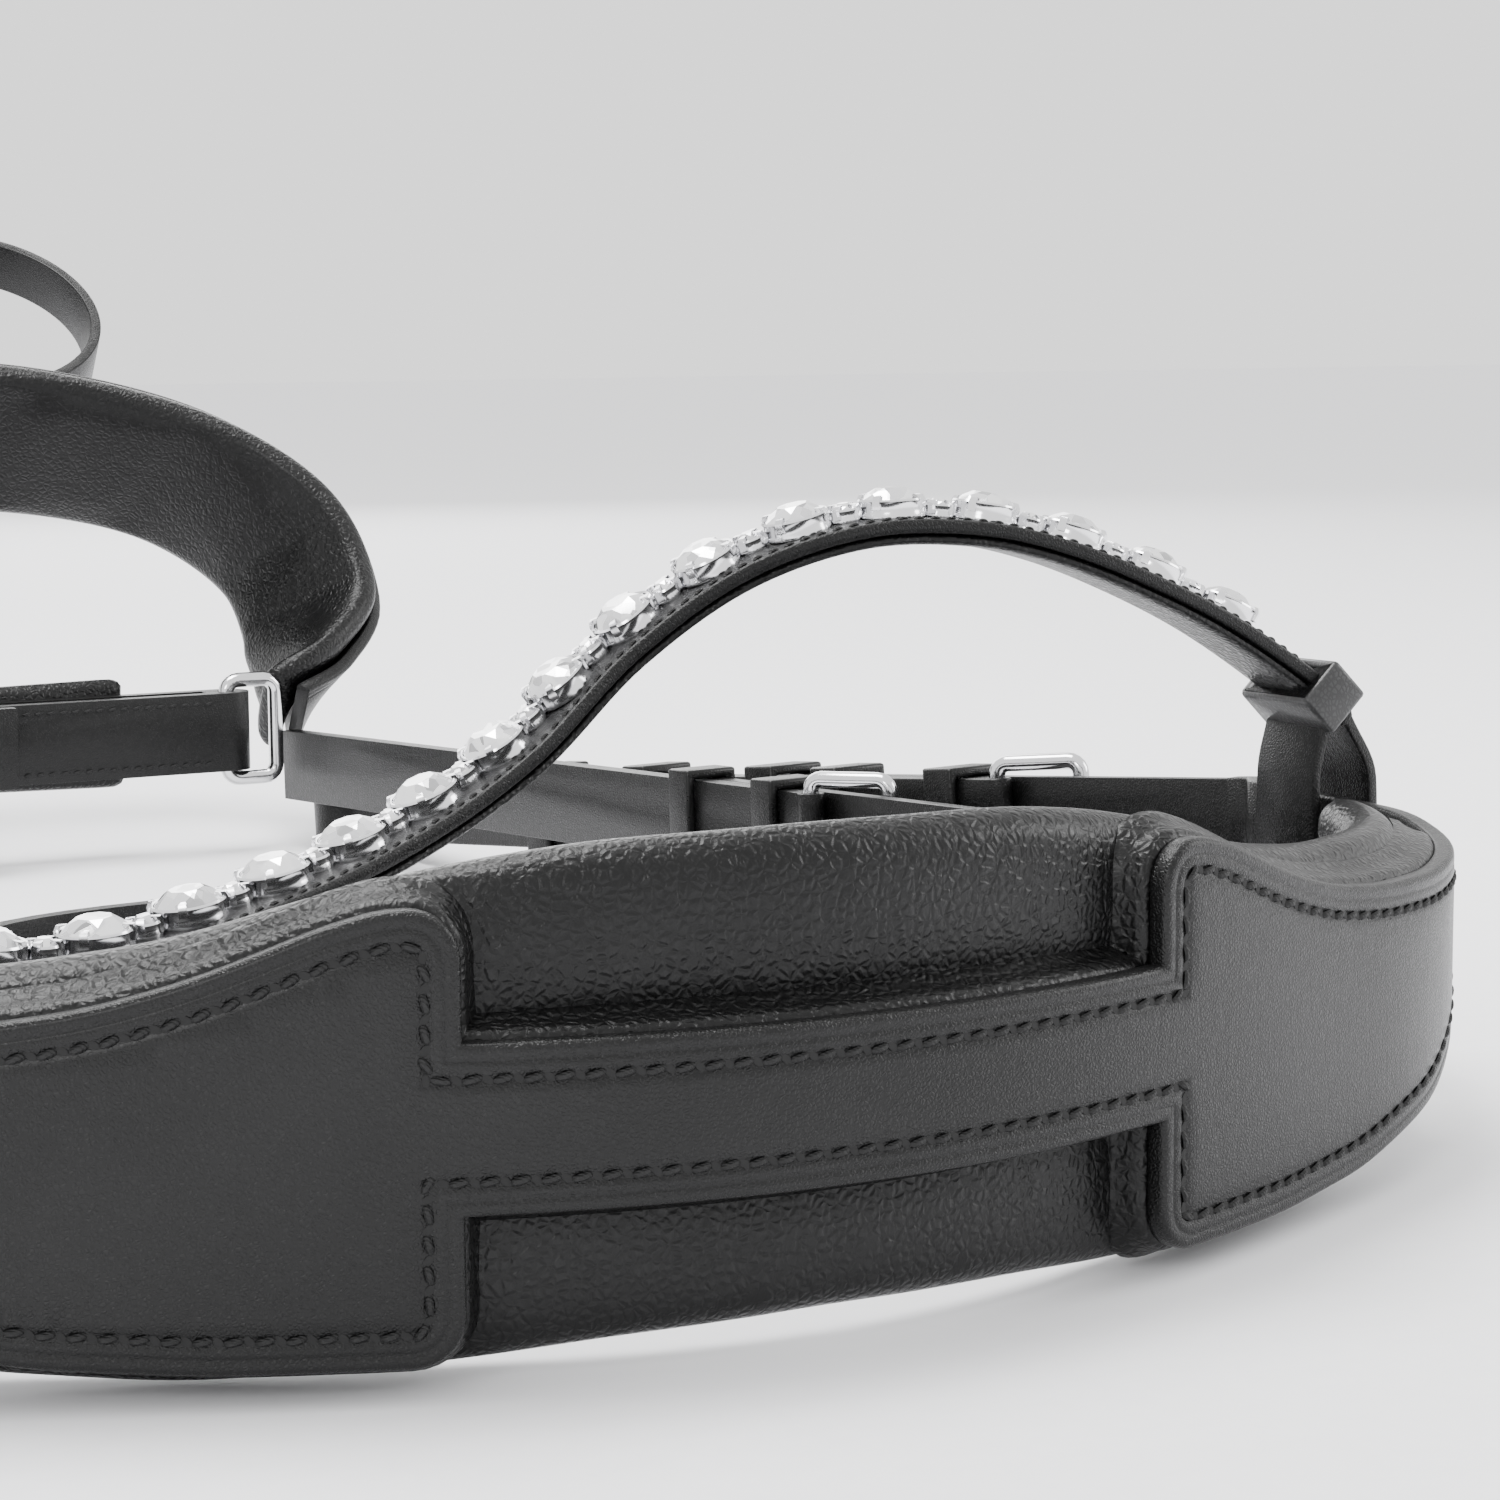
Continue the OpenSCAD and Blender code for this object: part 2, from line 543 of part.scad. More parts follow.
// The flash tab is a leather tunnel on top of the nose; +Z here is out of the nose piece
flash_tilt = -53.13;
tab_z = 6.4;
tunnel_h = 6;
flash_half = 38;
flash_r = 32;
flash_t = 2.6;
module flash_frame() {
    translate([0, 482, 95.5]) rotate([flash_tilt, 0, 0]) children();
}
module flash_tab() {
    color(black_leather) flash_frame() translate([-10, 0, tab_z]) rotate([90, 0, 90]) linear_extrude(20)
        difference() {
            translate([-10.5, 0]) square([21, tunnel_h + 4]);
            translate([-8.5, 2]) square([17, tunnel_h]);
        }
}
module stadium(r) {
    for (x = [-flash_half, flash_half]) translate([x, 0]) circle(r = r);
    translate([-flash_half, -r]) square([2 * flash_half, 2 * r]);
}
flash_z = tab_z + 2 + tunnel_h / 2 - flash_t / 2;
module flash_loop_frame() {
    flash_frame() translate([0, 0, flash_z + flash_r]) rotate([90, 0, 0]) children();
}
module flash_strap() {
    color(black_leather) flash_loop_frame() difference() {
        translate([0, 0, -flash_w / 2]) linear_extrude(flash_w) {
            difference() {
                stadium(flash_r);
                stadium(flash_r - flash_t);
            }
            translate([-34, flash_r + 0.1]) square([56, flash_t]);
        }
        translate([34, flash_r - flash_t - 1, -2]) cube([7.5, flash_t + 2, 4]);
    }
}
module flash_buckle() {
    color(steel) flash_loop_frame() translate([26, flash_r + flash_t / 2 + 0.1, 0]) {
        for (x = [0, 12], z = [-1, 1]) translate([x, 0, z * (flash_w / 2 + 2)]) sphere(r = 1.3);
        for (x = [0, 12]) translate([x, 0, -flash_w / 2 - 2]) cylinder(r = 1.3, h = flash_w + 4);
        for (z = [-1, 1]) translate([0, 0, z * (flash_w / 2 + 2)]) rotate([0, 90, 0])
            cylinder(r = 1.3, h = 12);
    }
}
module flash_tongue() {
    color(steel) flash_loop_frame() translate([38, flash_r + flash_t / 2 + 0.1, 0]) difference() {
        union() {
            translate([0, 0, -1.5]) cylinder(r = 2.5, h = 3);
            rotate([0, 0, -11.3]) rotate([0, -90, 0]) cylinder(r = 1, h = 14.5);
        }
        translate([0, 0, -3]) cylinder(r = 1.5, h = 6);
    }
}
module flash_runner() {
    color(black_leather) flash_loop_frame() translate([-14, 0, 0]) difference() {
        translate([0, flash_r - flash_t - 2, -flash_w / 2 - 2]) cube([7, 2 * flash_t + 4.1, flash_w + 4]);
        translate([-1, flash_r - flash_t - gap, -flash_w / 2 - gap])
            cube([9, 2 * flash_t + 2 * gap + 0.1, flash_w + 2 * gap]);
    }
}

// ---- throatlatch ----

throat_bar = 26;
throat_straight = 92;
throat_end = throat_at + throat_straight * [cos(throat_turn), sin(throat_turn), 0]
    + 4 * [sin(throat_turn) * -1, cos(throat_turn), 0];
throat_half = [
    [0, 244, throat_at[2], 0, 0, 1], [28, 239, throat_at[2], 0, 0, 1], [50, 224, throat_at[2], 0, 0, 1],
    [64, 207, throat_at[2], 0, 0, 1],
    [throat_end[0], throat_end[1], throat_at[2], 0, 0, 1]];
module throat_branch(s) {
    side(s) under_branch(throat_path, throat_branch_z, throat_w);
}
module throat_strap() {
    row = concat([for (i = [len(throat_half) - 1 : -1 : 1]) mirrored(throat_half)[i]], throat_half);
    f = frames(smooth(row, 4));
    color(black_leather) {
        ribbon(f, [for (i = f) throat_w], -1.5, 1.5);
        for (s = [-1, 1]) throat_frame(s) translate([0, 1.5, 0]) {
            eye_strap(throat_bar, throat_straight - 0.5, throat_w, double_t - 1);
        }
    }
}
// The start tapers by throat_taper at each corner, so that it clears the branch as the throatlatch swings
throat_start = 1.8;
throat_taper = 5.5;
module throat_points() {
    color(black_leather) for (s = [-1, 1]) throat_frame(s) translate([0, 1.5, 0]) difference() {
        holed_strap(throat_start, 84, throat_w, strap_t, throat_bar, [throat_bar + 18, throat_bar + 38]);
        for (e = [-1, 1]) translate([throat_start, -strap_t / 2, e * throat_w / 2]) rotate([0, 45, 0])
            cube([throat_taper * sqrt(2), strap_t + 2, throat_taper * sqrt(2)], center = true);
    }
}
module throat_buckles() {
    color(steel) for (s = [-1, 1]) throat_frame(s)
        translate([throat_bar, 1.5 + bar_depth, 0]) buckle(throat_w);
}
module throat_tongue(s) {
    color(steel) throat_frame(s) translate([throat_bar, 1.5 + bar_depth, 0]) tongue();
}
module throat_keepers() {
    color(black_leather) for (s = [-1, 1]) throat_frame(s) translate([0, 1.5, 0])
        for (x = [8, 28]) keeper(throat_bar + x, 6, throat_w, -strap_t, double_t - 0.7, 0.2);
}

module place() {
    translate([0, frame_y, 0]) children();
}

place() headpiece_pad();
place() headpiece_riser();
place() headpiece_leather();
place() noseband_branch(-1);  // noseband_branch_left
place() noseband_branch(1);  // noseband_branch_right
place() throat_branch(-1);  // throat_branch_left
place() throat_branch(1);  // throat_branch_right
place() browband_strap();
place() browband_lining();
place() browband_loop(-1);  // browband_loop_left
place() browband_loop(1);  // browband_loop_right
place() browband_keepers();
place() stone_settings();
place() large_stones();
place() small_stones();
place() cheek_point(-1);  // cheek_point_left
place() cheek_point(1);  // cheek_point_right
place() cheekpiece(-1);  // cheekpiece_left
place() cheekpiece(1);  // cheekpiece_right
place() cheek_buckle(-1);  // cheek_buckle_left
place() cheek_buckle(1);  // cheek_buckle_right
place() cheek_tongue(-1);  // cheek_tongue_left
place() cheek_tongue(1);  // cheek_tongue_right
place() cheek_keepers(-1);  // cheek_keepers_left
place() cheek_keepers(1);  // cheek_keepers_right
place() cheek_runner(-1);  // cheek_runner_left
place() cheek_runner(1);  // cheek_runner_right
place() bit_billet(-1);  // bit_billet_left
place() bit_billet(1);  // bit_billet_right
place() hook_stud(-1);  // hook_stud_left
place() hook_stud(1);  // hook_stud_right
place() hanger(-1);  // hanger_left
place() hanger(1);  // hanger_right
place() hanger_buckle(-1);  // hanger_buckle_left
place() hanger_buckle(1);  // hanger_buckle_right
place() hanger_tongue(-1);  // hanger_tongue_left
place() hanger_tongue(1);  // hanger_tongue_right
place() hanger_keepers(-1);  // hanger_keepers_left
place() hanger_keepers(1);  // hanger_keepers_right
place() nose_pad();
place() nose_leather();
place() nose_ring(-1);  // nose_ring_left
place() nose_ring(1);  // nose_ring_right
place() jaw_strap();
place() jaw_pad();
place() jaw_buckle();
place() jaw_roller();
place() jaw_tongue();
place() jaw_keepers();
place() flash_tab();
place() flash_strap();
place() flash_buckle();
place() flash_tongue();
place() flash_runner();
place() throat_strap();
place() throat_points();
place() throat_buckles();
place() throat_tongue(-1);  // throat_tongue_left
place() throat_tongue(1);  // throat_tongue_right
place() throat_keepers();
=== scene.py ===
# %% [markdown]
# # A snaffle bridle, laid face up
# A bridle is a harness of leather straps for a horse's head. Nearest is the padded headpiece that lies behind
# the ears, then a curved browband set with stones, two cheekpieces, and the noseband at the far end.
# The frame of the bridle (sizes, places, joints) is already made, and this lesson gives each piece its real
# surface. Sizes are written in millimetres, measured from the poll, and turned into metres of the shared frame.

# %% Load the frame
import json
import math
import bmesh
import bpy
import numpy as np
from mathutils import Matrix, Vector
from mathutils.geometry import delaunay_2d_cdt

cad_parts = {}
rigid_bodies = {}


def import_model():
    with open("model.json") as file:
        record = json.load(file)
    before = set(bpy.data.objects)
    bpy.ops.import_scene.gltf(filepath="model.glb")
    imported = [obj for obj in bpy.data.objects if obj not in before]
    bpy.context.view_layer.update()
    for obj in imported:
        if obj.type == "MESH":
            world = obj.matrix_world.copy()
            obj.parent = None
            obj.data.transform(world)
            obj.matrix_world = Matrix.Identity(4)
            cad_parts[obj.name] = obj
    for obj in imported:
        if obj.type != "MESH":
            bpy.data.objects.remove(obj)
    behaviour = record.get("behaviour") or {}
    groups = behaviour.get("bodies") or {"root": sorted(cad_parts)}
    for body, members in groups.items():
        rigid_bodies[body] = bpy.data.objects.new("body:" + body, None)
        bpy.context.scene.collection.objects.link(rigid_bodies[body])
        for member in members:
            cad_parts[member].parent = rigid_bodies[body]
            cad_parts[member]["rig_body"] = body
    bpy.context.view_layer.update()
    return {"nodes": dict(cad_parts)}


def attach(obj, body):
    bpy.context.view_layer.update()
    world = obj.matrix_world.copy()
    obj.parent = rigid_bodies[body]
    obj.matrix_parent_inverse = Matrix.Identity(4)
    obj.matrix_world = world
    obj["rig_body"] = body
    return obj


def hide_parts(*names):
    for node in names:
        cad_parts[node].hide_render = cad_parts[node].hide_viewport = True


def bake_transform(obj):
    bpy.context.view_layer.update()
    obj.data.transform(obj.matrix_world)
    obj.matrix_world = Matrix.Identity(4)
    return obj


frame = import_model()
nodes = frame["nodes"]
POLL_TO_MIDDLE = 272.0


def metres(points):
    """Points in millimetres from the poll, as metres in the shared frame."""
    p = np.array(points, float)
    return (p - np.array([0, POLL_TO_MIDDLE, 0])) / 1000.0


# %% [markdown]
# ## Camera
# A tack maker's picture is taken from low in front and a little to the left, close to the headpiece, so that
# the padded leather fills the frame. The camera is built from two directions, right and back.

# %% Camera
SWING, RISE, ROLL = math.radians(-27.75), math.radians(7.14), math.radians(-0.36)
back = Vector((math.sin(SWING) * math.cos(RISE), -math.cos(SWING) * math.cos(RISE), math.sin(RISE)))
level = Vector((math.cos(SWING), math.sin(SWING), 0))
up = back.cross(level)
right = level * math.cos(ROLL) + up * math.sin(ROLL)
up = up * math.cos(ROLL) - level * math.sin(ROLL)
LOOKED_AT, DISTANCE, LENS = (-12.1, 0, 72.85), 0.3959, 82.6
place = Vector(metres(LOOKED_AT)) + back * DISTANCE
camera = bpy.data.objects.new("camera", bpy.data.cameras.new("camera"))
bpy.context.scene.collection.objects.link(camera)
camera.matrix_world = Matrix((
    (right.x, up.x, back.x, place.x), (right.y, up.y, back.y, place.y), (right.z, up.z, back.z, place.z),
    (0, 0, 0, 1)))
camera.data.sensor_width, camera.data.lens = 36, LENS
camera.data.clip_start = 0.01
bpy.context.scene.camera = camera
print("camera at", [round(v, 4) for v in place])

# %% [markdown]
# ## Studio
# Black leather shows its shape only through reflections. A soft box overhead draws the light rolls along the top
# edges, small ones from the left front and the right lift the grain, a wide one behind lights the far straps, and
# the pale room fills the rest.

# %% Floor, room and lights
def light(name, at, aim, size, power):
    lamp = bpy.data.lights.new(name, "AREA")
    lamp.shape, lamp.size = "SQUARE", size
    lamp.energy = power
    o = bpy.data.objects.new(name, lamp)
    o.location = at
    o.rotation_euler = (Vector(aim) - Vector(at)).to_track_quat("-Z", "Y").to_euler()
    bpy.context.scene.collection.objects.link(o)


light("overhead box", (-0.15, 0.1, 1.1), (0, -0.1, 0), 0.6, 20)
light("left front box", (-1.1, -1.25, 0.75), (0, -0.2, 0.03), 0.45, 8)
light("right box", (1.2, -0.5, 0.55), (0.05, -0.2, 0.03), 0.6, 8)
light("back box", (0.4, 1.3, 0.7), (0, 0, 0.05), 1.0, 12)

world = bpy.data.worlds.new("pale room")
bpy.context.scene.world = world
world.use_nodes = True
world.node_tree.nodes["Background"].inputs["Color"].default_value = (1, 1, 1, 1)
world.node_tree.nodes["Background"].inputs["Strength"].default_value = 1.6

floor_mesh = bpy.data.meshes.new("floor")
floor_mesh.from_pydata([(-6, -6, 0), (6, -6, 0), (6, 6, 0), (-6, 6, 0)], [], [(0, 1, 2, 3)])
floor = bpy.data.objects.new("floor", floor_mesh)
bpy.context.scene.collection.objects.link(floor)

# %% [markdown]
# ## Writing finishes as sums
# A leather surface is a few noises added together. One small class lets the additions be written as plain
# Python, and each operator adds its Math node.

# %% Shader helper
class Value:
    """A number that changes over the surface: a socket of a shader tree."""

    def __init__(self, finish, socket):
        self.finish, self.socket = finish, socket

    def _math(self, kind, first, second):
        return self.finish.node("ShaderNodeMath", {"operation": kind}, {0: first, 1: second})

    def __add__(self, other): return self._math("ADD", self, other)
    def __radd__(self, other): return self._math("ADD", other, self)
    def __sub__(self, other): return self._math("SUBTRACT", self, other)
    def __mul__(self, other): return self._math("MULTIPLY", self, other)
    def __rmul__(self, other): return self._math("MULTIPLY", other, self)


class Finish:
    """A material under construction, with its Principled shader."""

    def __init__(self, name, **fixed):
        self.material = bpy.data.materials.new(name)
        self.material.use_nodes = True
        self.tree = self.material.node_tree
        self.shader = self.tree.nodes["Principled BSDF"]
        for socket, number in fixed.items():
            self.shader.inputs[socket.replace("_", " ")].default_value = number

    def node(self, kind, settings, sockets, out=0):
        made = self.tree.nodes.new(kind)
        for key, setting in settings.items():
            if key == "stops":
                ramp = made.color_ramp
                while len(ramp.elements) < len(setting):
                    ramp.elements.new(0.5)
                for element, (at, colour) in zip(ramp.elements, setting):
                    element.position, element.color = at, colour
            else:
                setattr(made, key, setting)
        for key, number in sockets.items():
            if isinstance(number, Value):
                self.tree.links.new(number.socket, made.inputs[key])
            else:
                made.inputs[key].default_value = number
        return Value(self, made.outputs[out])

    def feed(self, **links):
        for socket, value in links.items():
            self.tree.links.new(value.socket, self.shader.inputs[socket.replace("_", " ")])
        return self.material

    def place(self, stretch=(1, 1, 1)):
        where = self.node("ShaderNodeTexCoord", {}, {}, "Object")
        return self.node("ShaderNodeMapping", {}, {"Vector": where, "Scale": stretch})

    def noise(self, size, detail=2.0, stretch=(1, 1, 1)):
        return self.node("ShaderNodeTexNoise", {}, {"Vector": self.place(stretch), "Scale": 1 / size,
                                                    "Detail": detail, "Roughness": 0.5})

    def span(self, value, low, high, to_low=0.0, to_high=1.0):
        return self.node("ShaderNodeMapRange", {"interpolation_type": "SMOOTHSTEP"},
                         {0: value, 1: low, 2: high, 3: to_low, 4: to_high})

    def tones(self, value, *stops):
        return self.node("ShaderNodeValToRGB",
                         {"stops": [(at, (g, g, g * 1.02, 1)) for at, g in stops]}, {"Fac": value})


# %% [markdown]
# ## Leathers
# Two leathers make a bridle. The straps are smooth bridle leather with a very fine grain and a waxed shine.
# The padding is wrapped in softer hide with a pebbled grain that is coarser, with creases where it is stretched.
# Cells of a Voronoi texture, warped by noise, give the pebbles, and noise gives pores, creases and wear.

# %% Leather finishes
def leather(name, tone, rough, pebble, depth, crease, shine):
    """tone and rough are the base colour and roughness; pebble and depth, in metres, size the grain."""
    f = Finish(name, Coat_Roughness=0.22, Specular_IOR_Level=0.2)
    where = f.place()
    drift = f.node("ShaderNodeTexNoise", {}, {"Vector": where, "Scale": 0.6 / pebble, "Detail": 2.0}, "Color")
    warped = f.node("ShaderNodeMix", {"data_type": "VECTOR"}, {0: 0.0009 if pebble > 0.001 else 0.0004,
                                                               4: where, 5: drift}, 1)
    cell = f.node("ShaderNodeTexVoronoi", {"feature": "DISTANCE_TO_EDGE"},
                  {"Vector": warped, "Scale": 1 / pebble, "Randomness": 1.0})
    bead = f.span(cell, 0.0, 0.34)
    pores = f.noise(pebble * 0.28, 2.0)
    patches = f.noise(0.03, 3.0)
    folds = f.span(f.noise(0.0065, 4.0, (1, 1, 0.35)), 0.47, 0.53)
    ridge = f.span(f.noise(0.0065, 4.0, (1, 1, 0.35)), 0.5, 0.56, 1.0, 0.0)
    height = bead * (0.55 + 0.45 * patches) + 0.35 * pores - crease * (folds * ridge)
    bump = f.node("ShaderNodeBump", {}, {"Strength": 1.0, "Distance": depth, "Height": height})
    shade = bead * 0.55 + patches * 0.45
    colour = f.tones(shade, (0.15, tone * 0.72), (0.6, tone), (0.95, tone * 1.35))
    gloss = rough + 0.16 * patches - 0.10 * bead + 0.05 * pores
    coat = f.span(patches, 0.35, 0.75, shine * 0.6, shine)
    return f.feed(Base_Color=colour, Roughness=gloss, Normal=bump, Coat_Weight=coat)


strap_leather = leather("smooth_bridle_leather", 0.0042, 0.3, 0.00055, 0.00009, 0.3, 0.16)
pad_leather = leather("pebbled_lining_leather", 0.0034, 0.3, 0.0014, 0.00016, 0.6, 0.12)
edge_leather = leather("burnished_strap_edge", 0.003, 0.26, 0.0009, 0.00003, 0.1, 0.2)

# %% [markdown]
# ## Thread, steel, stones and floor
# Waxed linen thread is matt black with a twist. The buckles are polished stainless steel with fine scratches.
# The stones are cut glass on silver foil, so they behave as facets of mirror under a clear coat.

# %% Other finishes
def thread_finish():
    f = Finish("waxed_black_thread", Specular_IOR_Level=0.3)
    twist = f.node("ShaderNodeTexWave", {"wave_type": "BANDS", "bands_direction": "DIAGONAL"},
                   {"Vector": f.place(), "Scale": 900.0, "Distortion": 1.0})
    fuzz = f.noise(0.0004, 2.0)
    bump = f.node("ShaderNodeBump", {}, {"Strength": 0.7, "Distance": 0.0001, "Height": twist + 0.5 * fuzz})
    return f.feed(Base_Color=f.tones(fuzz, (0.3, 0.003), (0.7, 0.009)), Roughness=0.5 + 0.2 * fuzz, Normal=bump)


def steel_finish(name, tone, rough, grain):
    f = Finish(name)
    scratch = f.noise(0.0006, 3.0, (1, 1, 0.05))
    cloud = f.noise(0.01, 2.0)
    bump = f.node("ShaderNodeBump", {}, {"Strength": grain, "Distance": 0.00002, "Height": scratch})
    f.shader.inputs["Metallic"].default_value = 1.0
    return f.feed(Base_Color=f.tones(cloud, (0.2, tone * 0.85), (0.8, tone)),
                  Roughness=rough + 0.10 * scratch * cloud, Normal=bump)


def stone_finish():
    f = Finish("foiled_cut_glass", Coat_Weight=1.0, Coat_Roughness=0.02, IOR=1.6)
    sparkle = f.node("ShaderNodeTexVoronoi", {"feature": "F1"}, {"Vector": f.place(), "Scale": 520.0}, "Color")
    tint = f.node("ShaderNodeSeparateColor", {}, {0: sparkle}, 0)
    return f.feed(Base_Color=f.tones(tint, (0.0, 0.25), (0.35, 0.75), (0.8, 1.0)),
                  Metallic=f.span(tint, 0.1, 0.5, 0.35, 0.85), Roughness=0.04 + 0.06 * tint)


# Painted shade for the awl holes: a near-black, rough finish that stands for the shadow inside each hole.
def painted_shade_finish(name):
    f = Finish(name)
    shade_noise = f.noise(0.0008, 2.0)
    return f.feed(Base_Color=f.tones(shade_noise, (0.3, 0.002), (0.7, 0.006)), Roughness=0.8 + 0.1 * shade_noise)


def floor_finish():
    f = Finish("pale_studio_paper")
    fibre = f.noise(0.004, 3.0)
    return f.feed(Base_Color=f.tones(fibre, (0.2, 0.93), (0.8, 0.96)), Roughness=0.75 + 0.1 * fibre)


thread = thread_finish()
steel = steel_finish("polished_steel", 0.74, 0.12, 0.3)
silver = steel_finish("silver_setting", 0.86, 0.14, 0.2)
glass_stone = stone_finish()
awl_hole_shade_finish = painted_shade_finish("needle_hole_painted_shade")
floor.data.materials.append(floor_finish())
print("finishes:", [m.name for m in bpy.data.materials])

# %% [markdown]
# ## From numbers to pieces
# Most pieces are a section carried along a line: a strap, a wire, a padded roll. `skin` joins the sections,
# `piece` makes the object, turns its faces outwards, and lets it ride on the right body of the bridle.

# %% Mesh helpers
def weld(mesh, reach, level=False):
    """Joins points closer than reach metres; then turns the faces outwards or, with level, joins level faces."""
    shape = bmesh.new()
    shape.from_mesh(mesh)
    bmesh.ops.remove_doubles(shape, verts=shape.verts, dist=reach)
    if level:
        bmesh.ops.dissolve_limit(shape, angle_limit=math.radians(1.0), verts=shape.verts, edges=shape.edges)
    else:
        bmesh.ops.recalc_face_normals(shape, faces=shape.faces)
    shape.to_mesh(mesh)
    shape.free()


def baked(o):
    """The object's mesh with its modifiers applied."""
    bpy.context.view_layer.update()
    return bpy.data.meshes.new_from_object(o.evaluated_get(bpy.context.evaluated_depsgraph_get()))


def piece(name, points, faces, finish, body, stands_for=(), slot=None, sharp=40):
    mesh = bpy.data.meshes.new(name)
    mesh.from_pydata([tuple(p) for p in metres(points)], [], [tuple(f) for f in faces])
    weld(mesh, 2e-6)
    return finish_piece(bpy.data.objects.new(name, mesh), finish, body, stands_for, sharp)


def finish_piece(o, finish, body, stands_for=(), sharp=40):
    bpy.context.scene.collection.objects.link(o)
    if finish is not None:
        o.data.materials.clear()
        o.data.materials.append(finish)
    o.data.shade_smooth()
    if sharp is not None:
        o.data.set_sharp_from_angle(angle=math.radians(sharp))
    if body:
        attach(o, body)
    if stands_for:
        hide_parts(*stands_for)
    return o


def skin(rings, loop=False):
    """Points and faces of the skin over a run of rings, closed at both ends or joined into a loop."""
    rings = np.asarray(rings, float)
    n, m = rings.shape[:2]
    faces = [(i * m + j, i * m + (j + 1) % m, (i + 1) % n * m + (j + 1) % m, (i + 1) % n * m + j)
             for i in range(n if loop else n - 1) for j in range(m)]
    if not loop:
        faces += [tuple(range(m - 1, -1, -1)), tuple(range((n - 1) * m, n * m))]
    return rings.reshape(-1, 3), faces


def unit(v):
    return v / np.linalg.norm(v, axis=-1, keepdims=True)


def smooth_rows(rows, k):
    """A smooth run through the rows of a table, with k steps between two rows."""
    p = np.array(rows, float)
    out = []
    for i in range(len(p) - 1):
        a, b, c, d = p[max(i - 1, 0)], p[i], p[i + 1], p[min(i + 2, len(p) - 1)]
        for t in np.arange(k) / k:
            out.append(0.5 * (2 * b + (c - a) * t + (2 * a - 5 * b + 4 * c - d) * t * t
                              + (3 * b - a - 3 * c + d) * t ** 3))
    return np.array(out + [p[-1]])


# %% [markdown]
# ## The line of the headpiece
# The headpiece is one long layered strap that bends round the poll. How sharply it bends is known at a few
# distances, and walking along it in short steps gives its line on the floor. Every layer is then a distance `s`
# along it, an offset `d` out of it and a height `z`.

# %% Headpiece line
POLL_Z = 31.6
BEND = [(0, 9.5), (45, 4.8), (90, 0.2), (130, 18.9), (166, 18.9), (172, 0.5), (240, 0)]
walk = [(0.0, 0.0, 0.0, 0.0)]
while walk[-1][0] < 200:
    s, x, y, h = walk[-1]
    turn = np.interp(s + 2, *zip(*BEND)) / 1000 * 4
    walk.append((s + 4, x + 4 * math.cos(h), y + 4 * math.sin(h), h + turn))
walk = np.array(walk)


def on_head(s, d, z):
    """Places on the headpiece; its line bends up to 200 mm from the poll and is straight from there on."""
    s, d, z = np.broadcast_arrays(np.asarray(s, float), d, z)
    a = np.clip(np.abs(s), 0, 199.999)
    i = (a // 4).astype(int)
    t = (a - i * 4) / 4
    p, q = walk[i], walk[i + 1]
    h = p[..., 3] + (q[..., 3] - p[..., 3]) * t
    u = [(2 * t**3 - 3 * t**2 + 1) * p[..., k] + (-2 * t**3 + 3 * t**2) * q[..., k]
         + 4 * ((t**3 - 2 * t**2 + t) * f(p[..., 3]) + (t**3 - t**2) * f(q[..., 3]))
         for k, f in ((1, np.cos), (2, np.sin))]
    extra = np.abs(s) - a
    x = u[0] + extra * np.cos(h) + d * np.sin(h)
    return np.stack([np.where(s < 0, -x, x), u[1] + extra * np.sin(h) - d * np.cos(h), POLL_Z + z], -1)


print("half width of the headpiece:", round(float(on_head(200, 6, 0)[0]), 1), "mm")

# %% [markdown]
# ## The padded lining
# The lining is a long cushion: foam wrapped in soft hide, with a rolled edge. It bulges between that roll and the
# strap that is sewn over its middle. The section is drawn as a rounded bar, carried along the headpiece, then blown
# up a little as cloth, so that the hide is drawn as by a filling.

# %% Inflating hide
def fill_out(o, cap, frames=16):
    """Lets cloth pressure swell a closed piece by at most cap metres."""
    start = np.empty(len(o.data.vertices) * 3)
    o.data.vertices.foreach_get("co", start)
    start = start.reshape(-1, 3)
    cloth = o.modifiers.new("filling", "CLOTH")
    s = cloth.settings
    s.quality, s.mass = 4, 0.2
    s.tension_stiffness = s.compression_stiffness = 20
    s.use_pressure, s.uniform_pressure_force = True, 4.0
    s.effector_weights.gravity = 0
    cloth.point_cache.frame_start, cloth.point_cache.frame_end = 1, frames
    for f in range(1, frames + 1):
        bpy.context.scene.frame_set(f)
    shape = o.evaluated_get(bpy.context.evaluated_depsgraph_get())
    end = np.empty(len(shape.data.vertices) * 3)
    shape.data.vertices.foreach_get("co", end)
    move = end.reshape(-1, 3) - start
    far = np.linalg.norm(move, axis=1, keepdims=True)
    print(o.name, "swelled by", round(float(far.mean()) * 1000, 2), "mm, at most", round(float(far.max()) * 1000, 2))
    move *= np.minimum(1.0, cap / np.maximum(far, 1e-9))
    o.modifiers.remove(cloth)
    bpy.context.scene.frame_set(1)
    o.data.vertices.foreach_set("co", (start + move).ravel())
    o.data.update()


def upholster(o, cap, node, rounder=True):
    """Fills a cushion, rounds its faces, and lets it stand for a node of the headpiece."""
    fill_out(o, cap)
    if rounder:
        smoother = o.modifiers.new("smoother", "SUBSURF")
        smoother.levels = smoother.render_levels = 1
        final = baked(o)
        o.modifiers.clear()
        o.data = final
    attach(o, "headpiece")
    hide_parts(node)


# %% Padded lining
PAD_HIGH = [(0, 31.5), (30, 31), (46, 29.2), (60, 26.6), (80, 21.4), (100, 18.4), (125, 17.4), (168, 17)]
PAD_LOW = [(0, -27.5), (30, -28.4), (50, -30.2), (80, -31.5), (105, -29.5), (130, -25), (150, -22), (168, -21)]
PAD_END, PAD_T, PAD_AT = 166.0, 9.0, -6.5


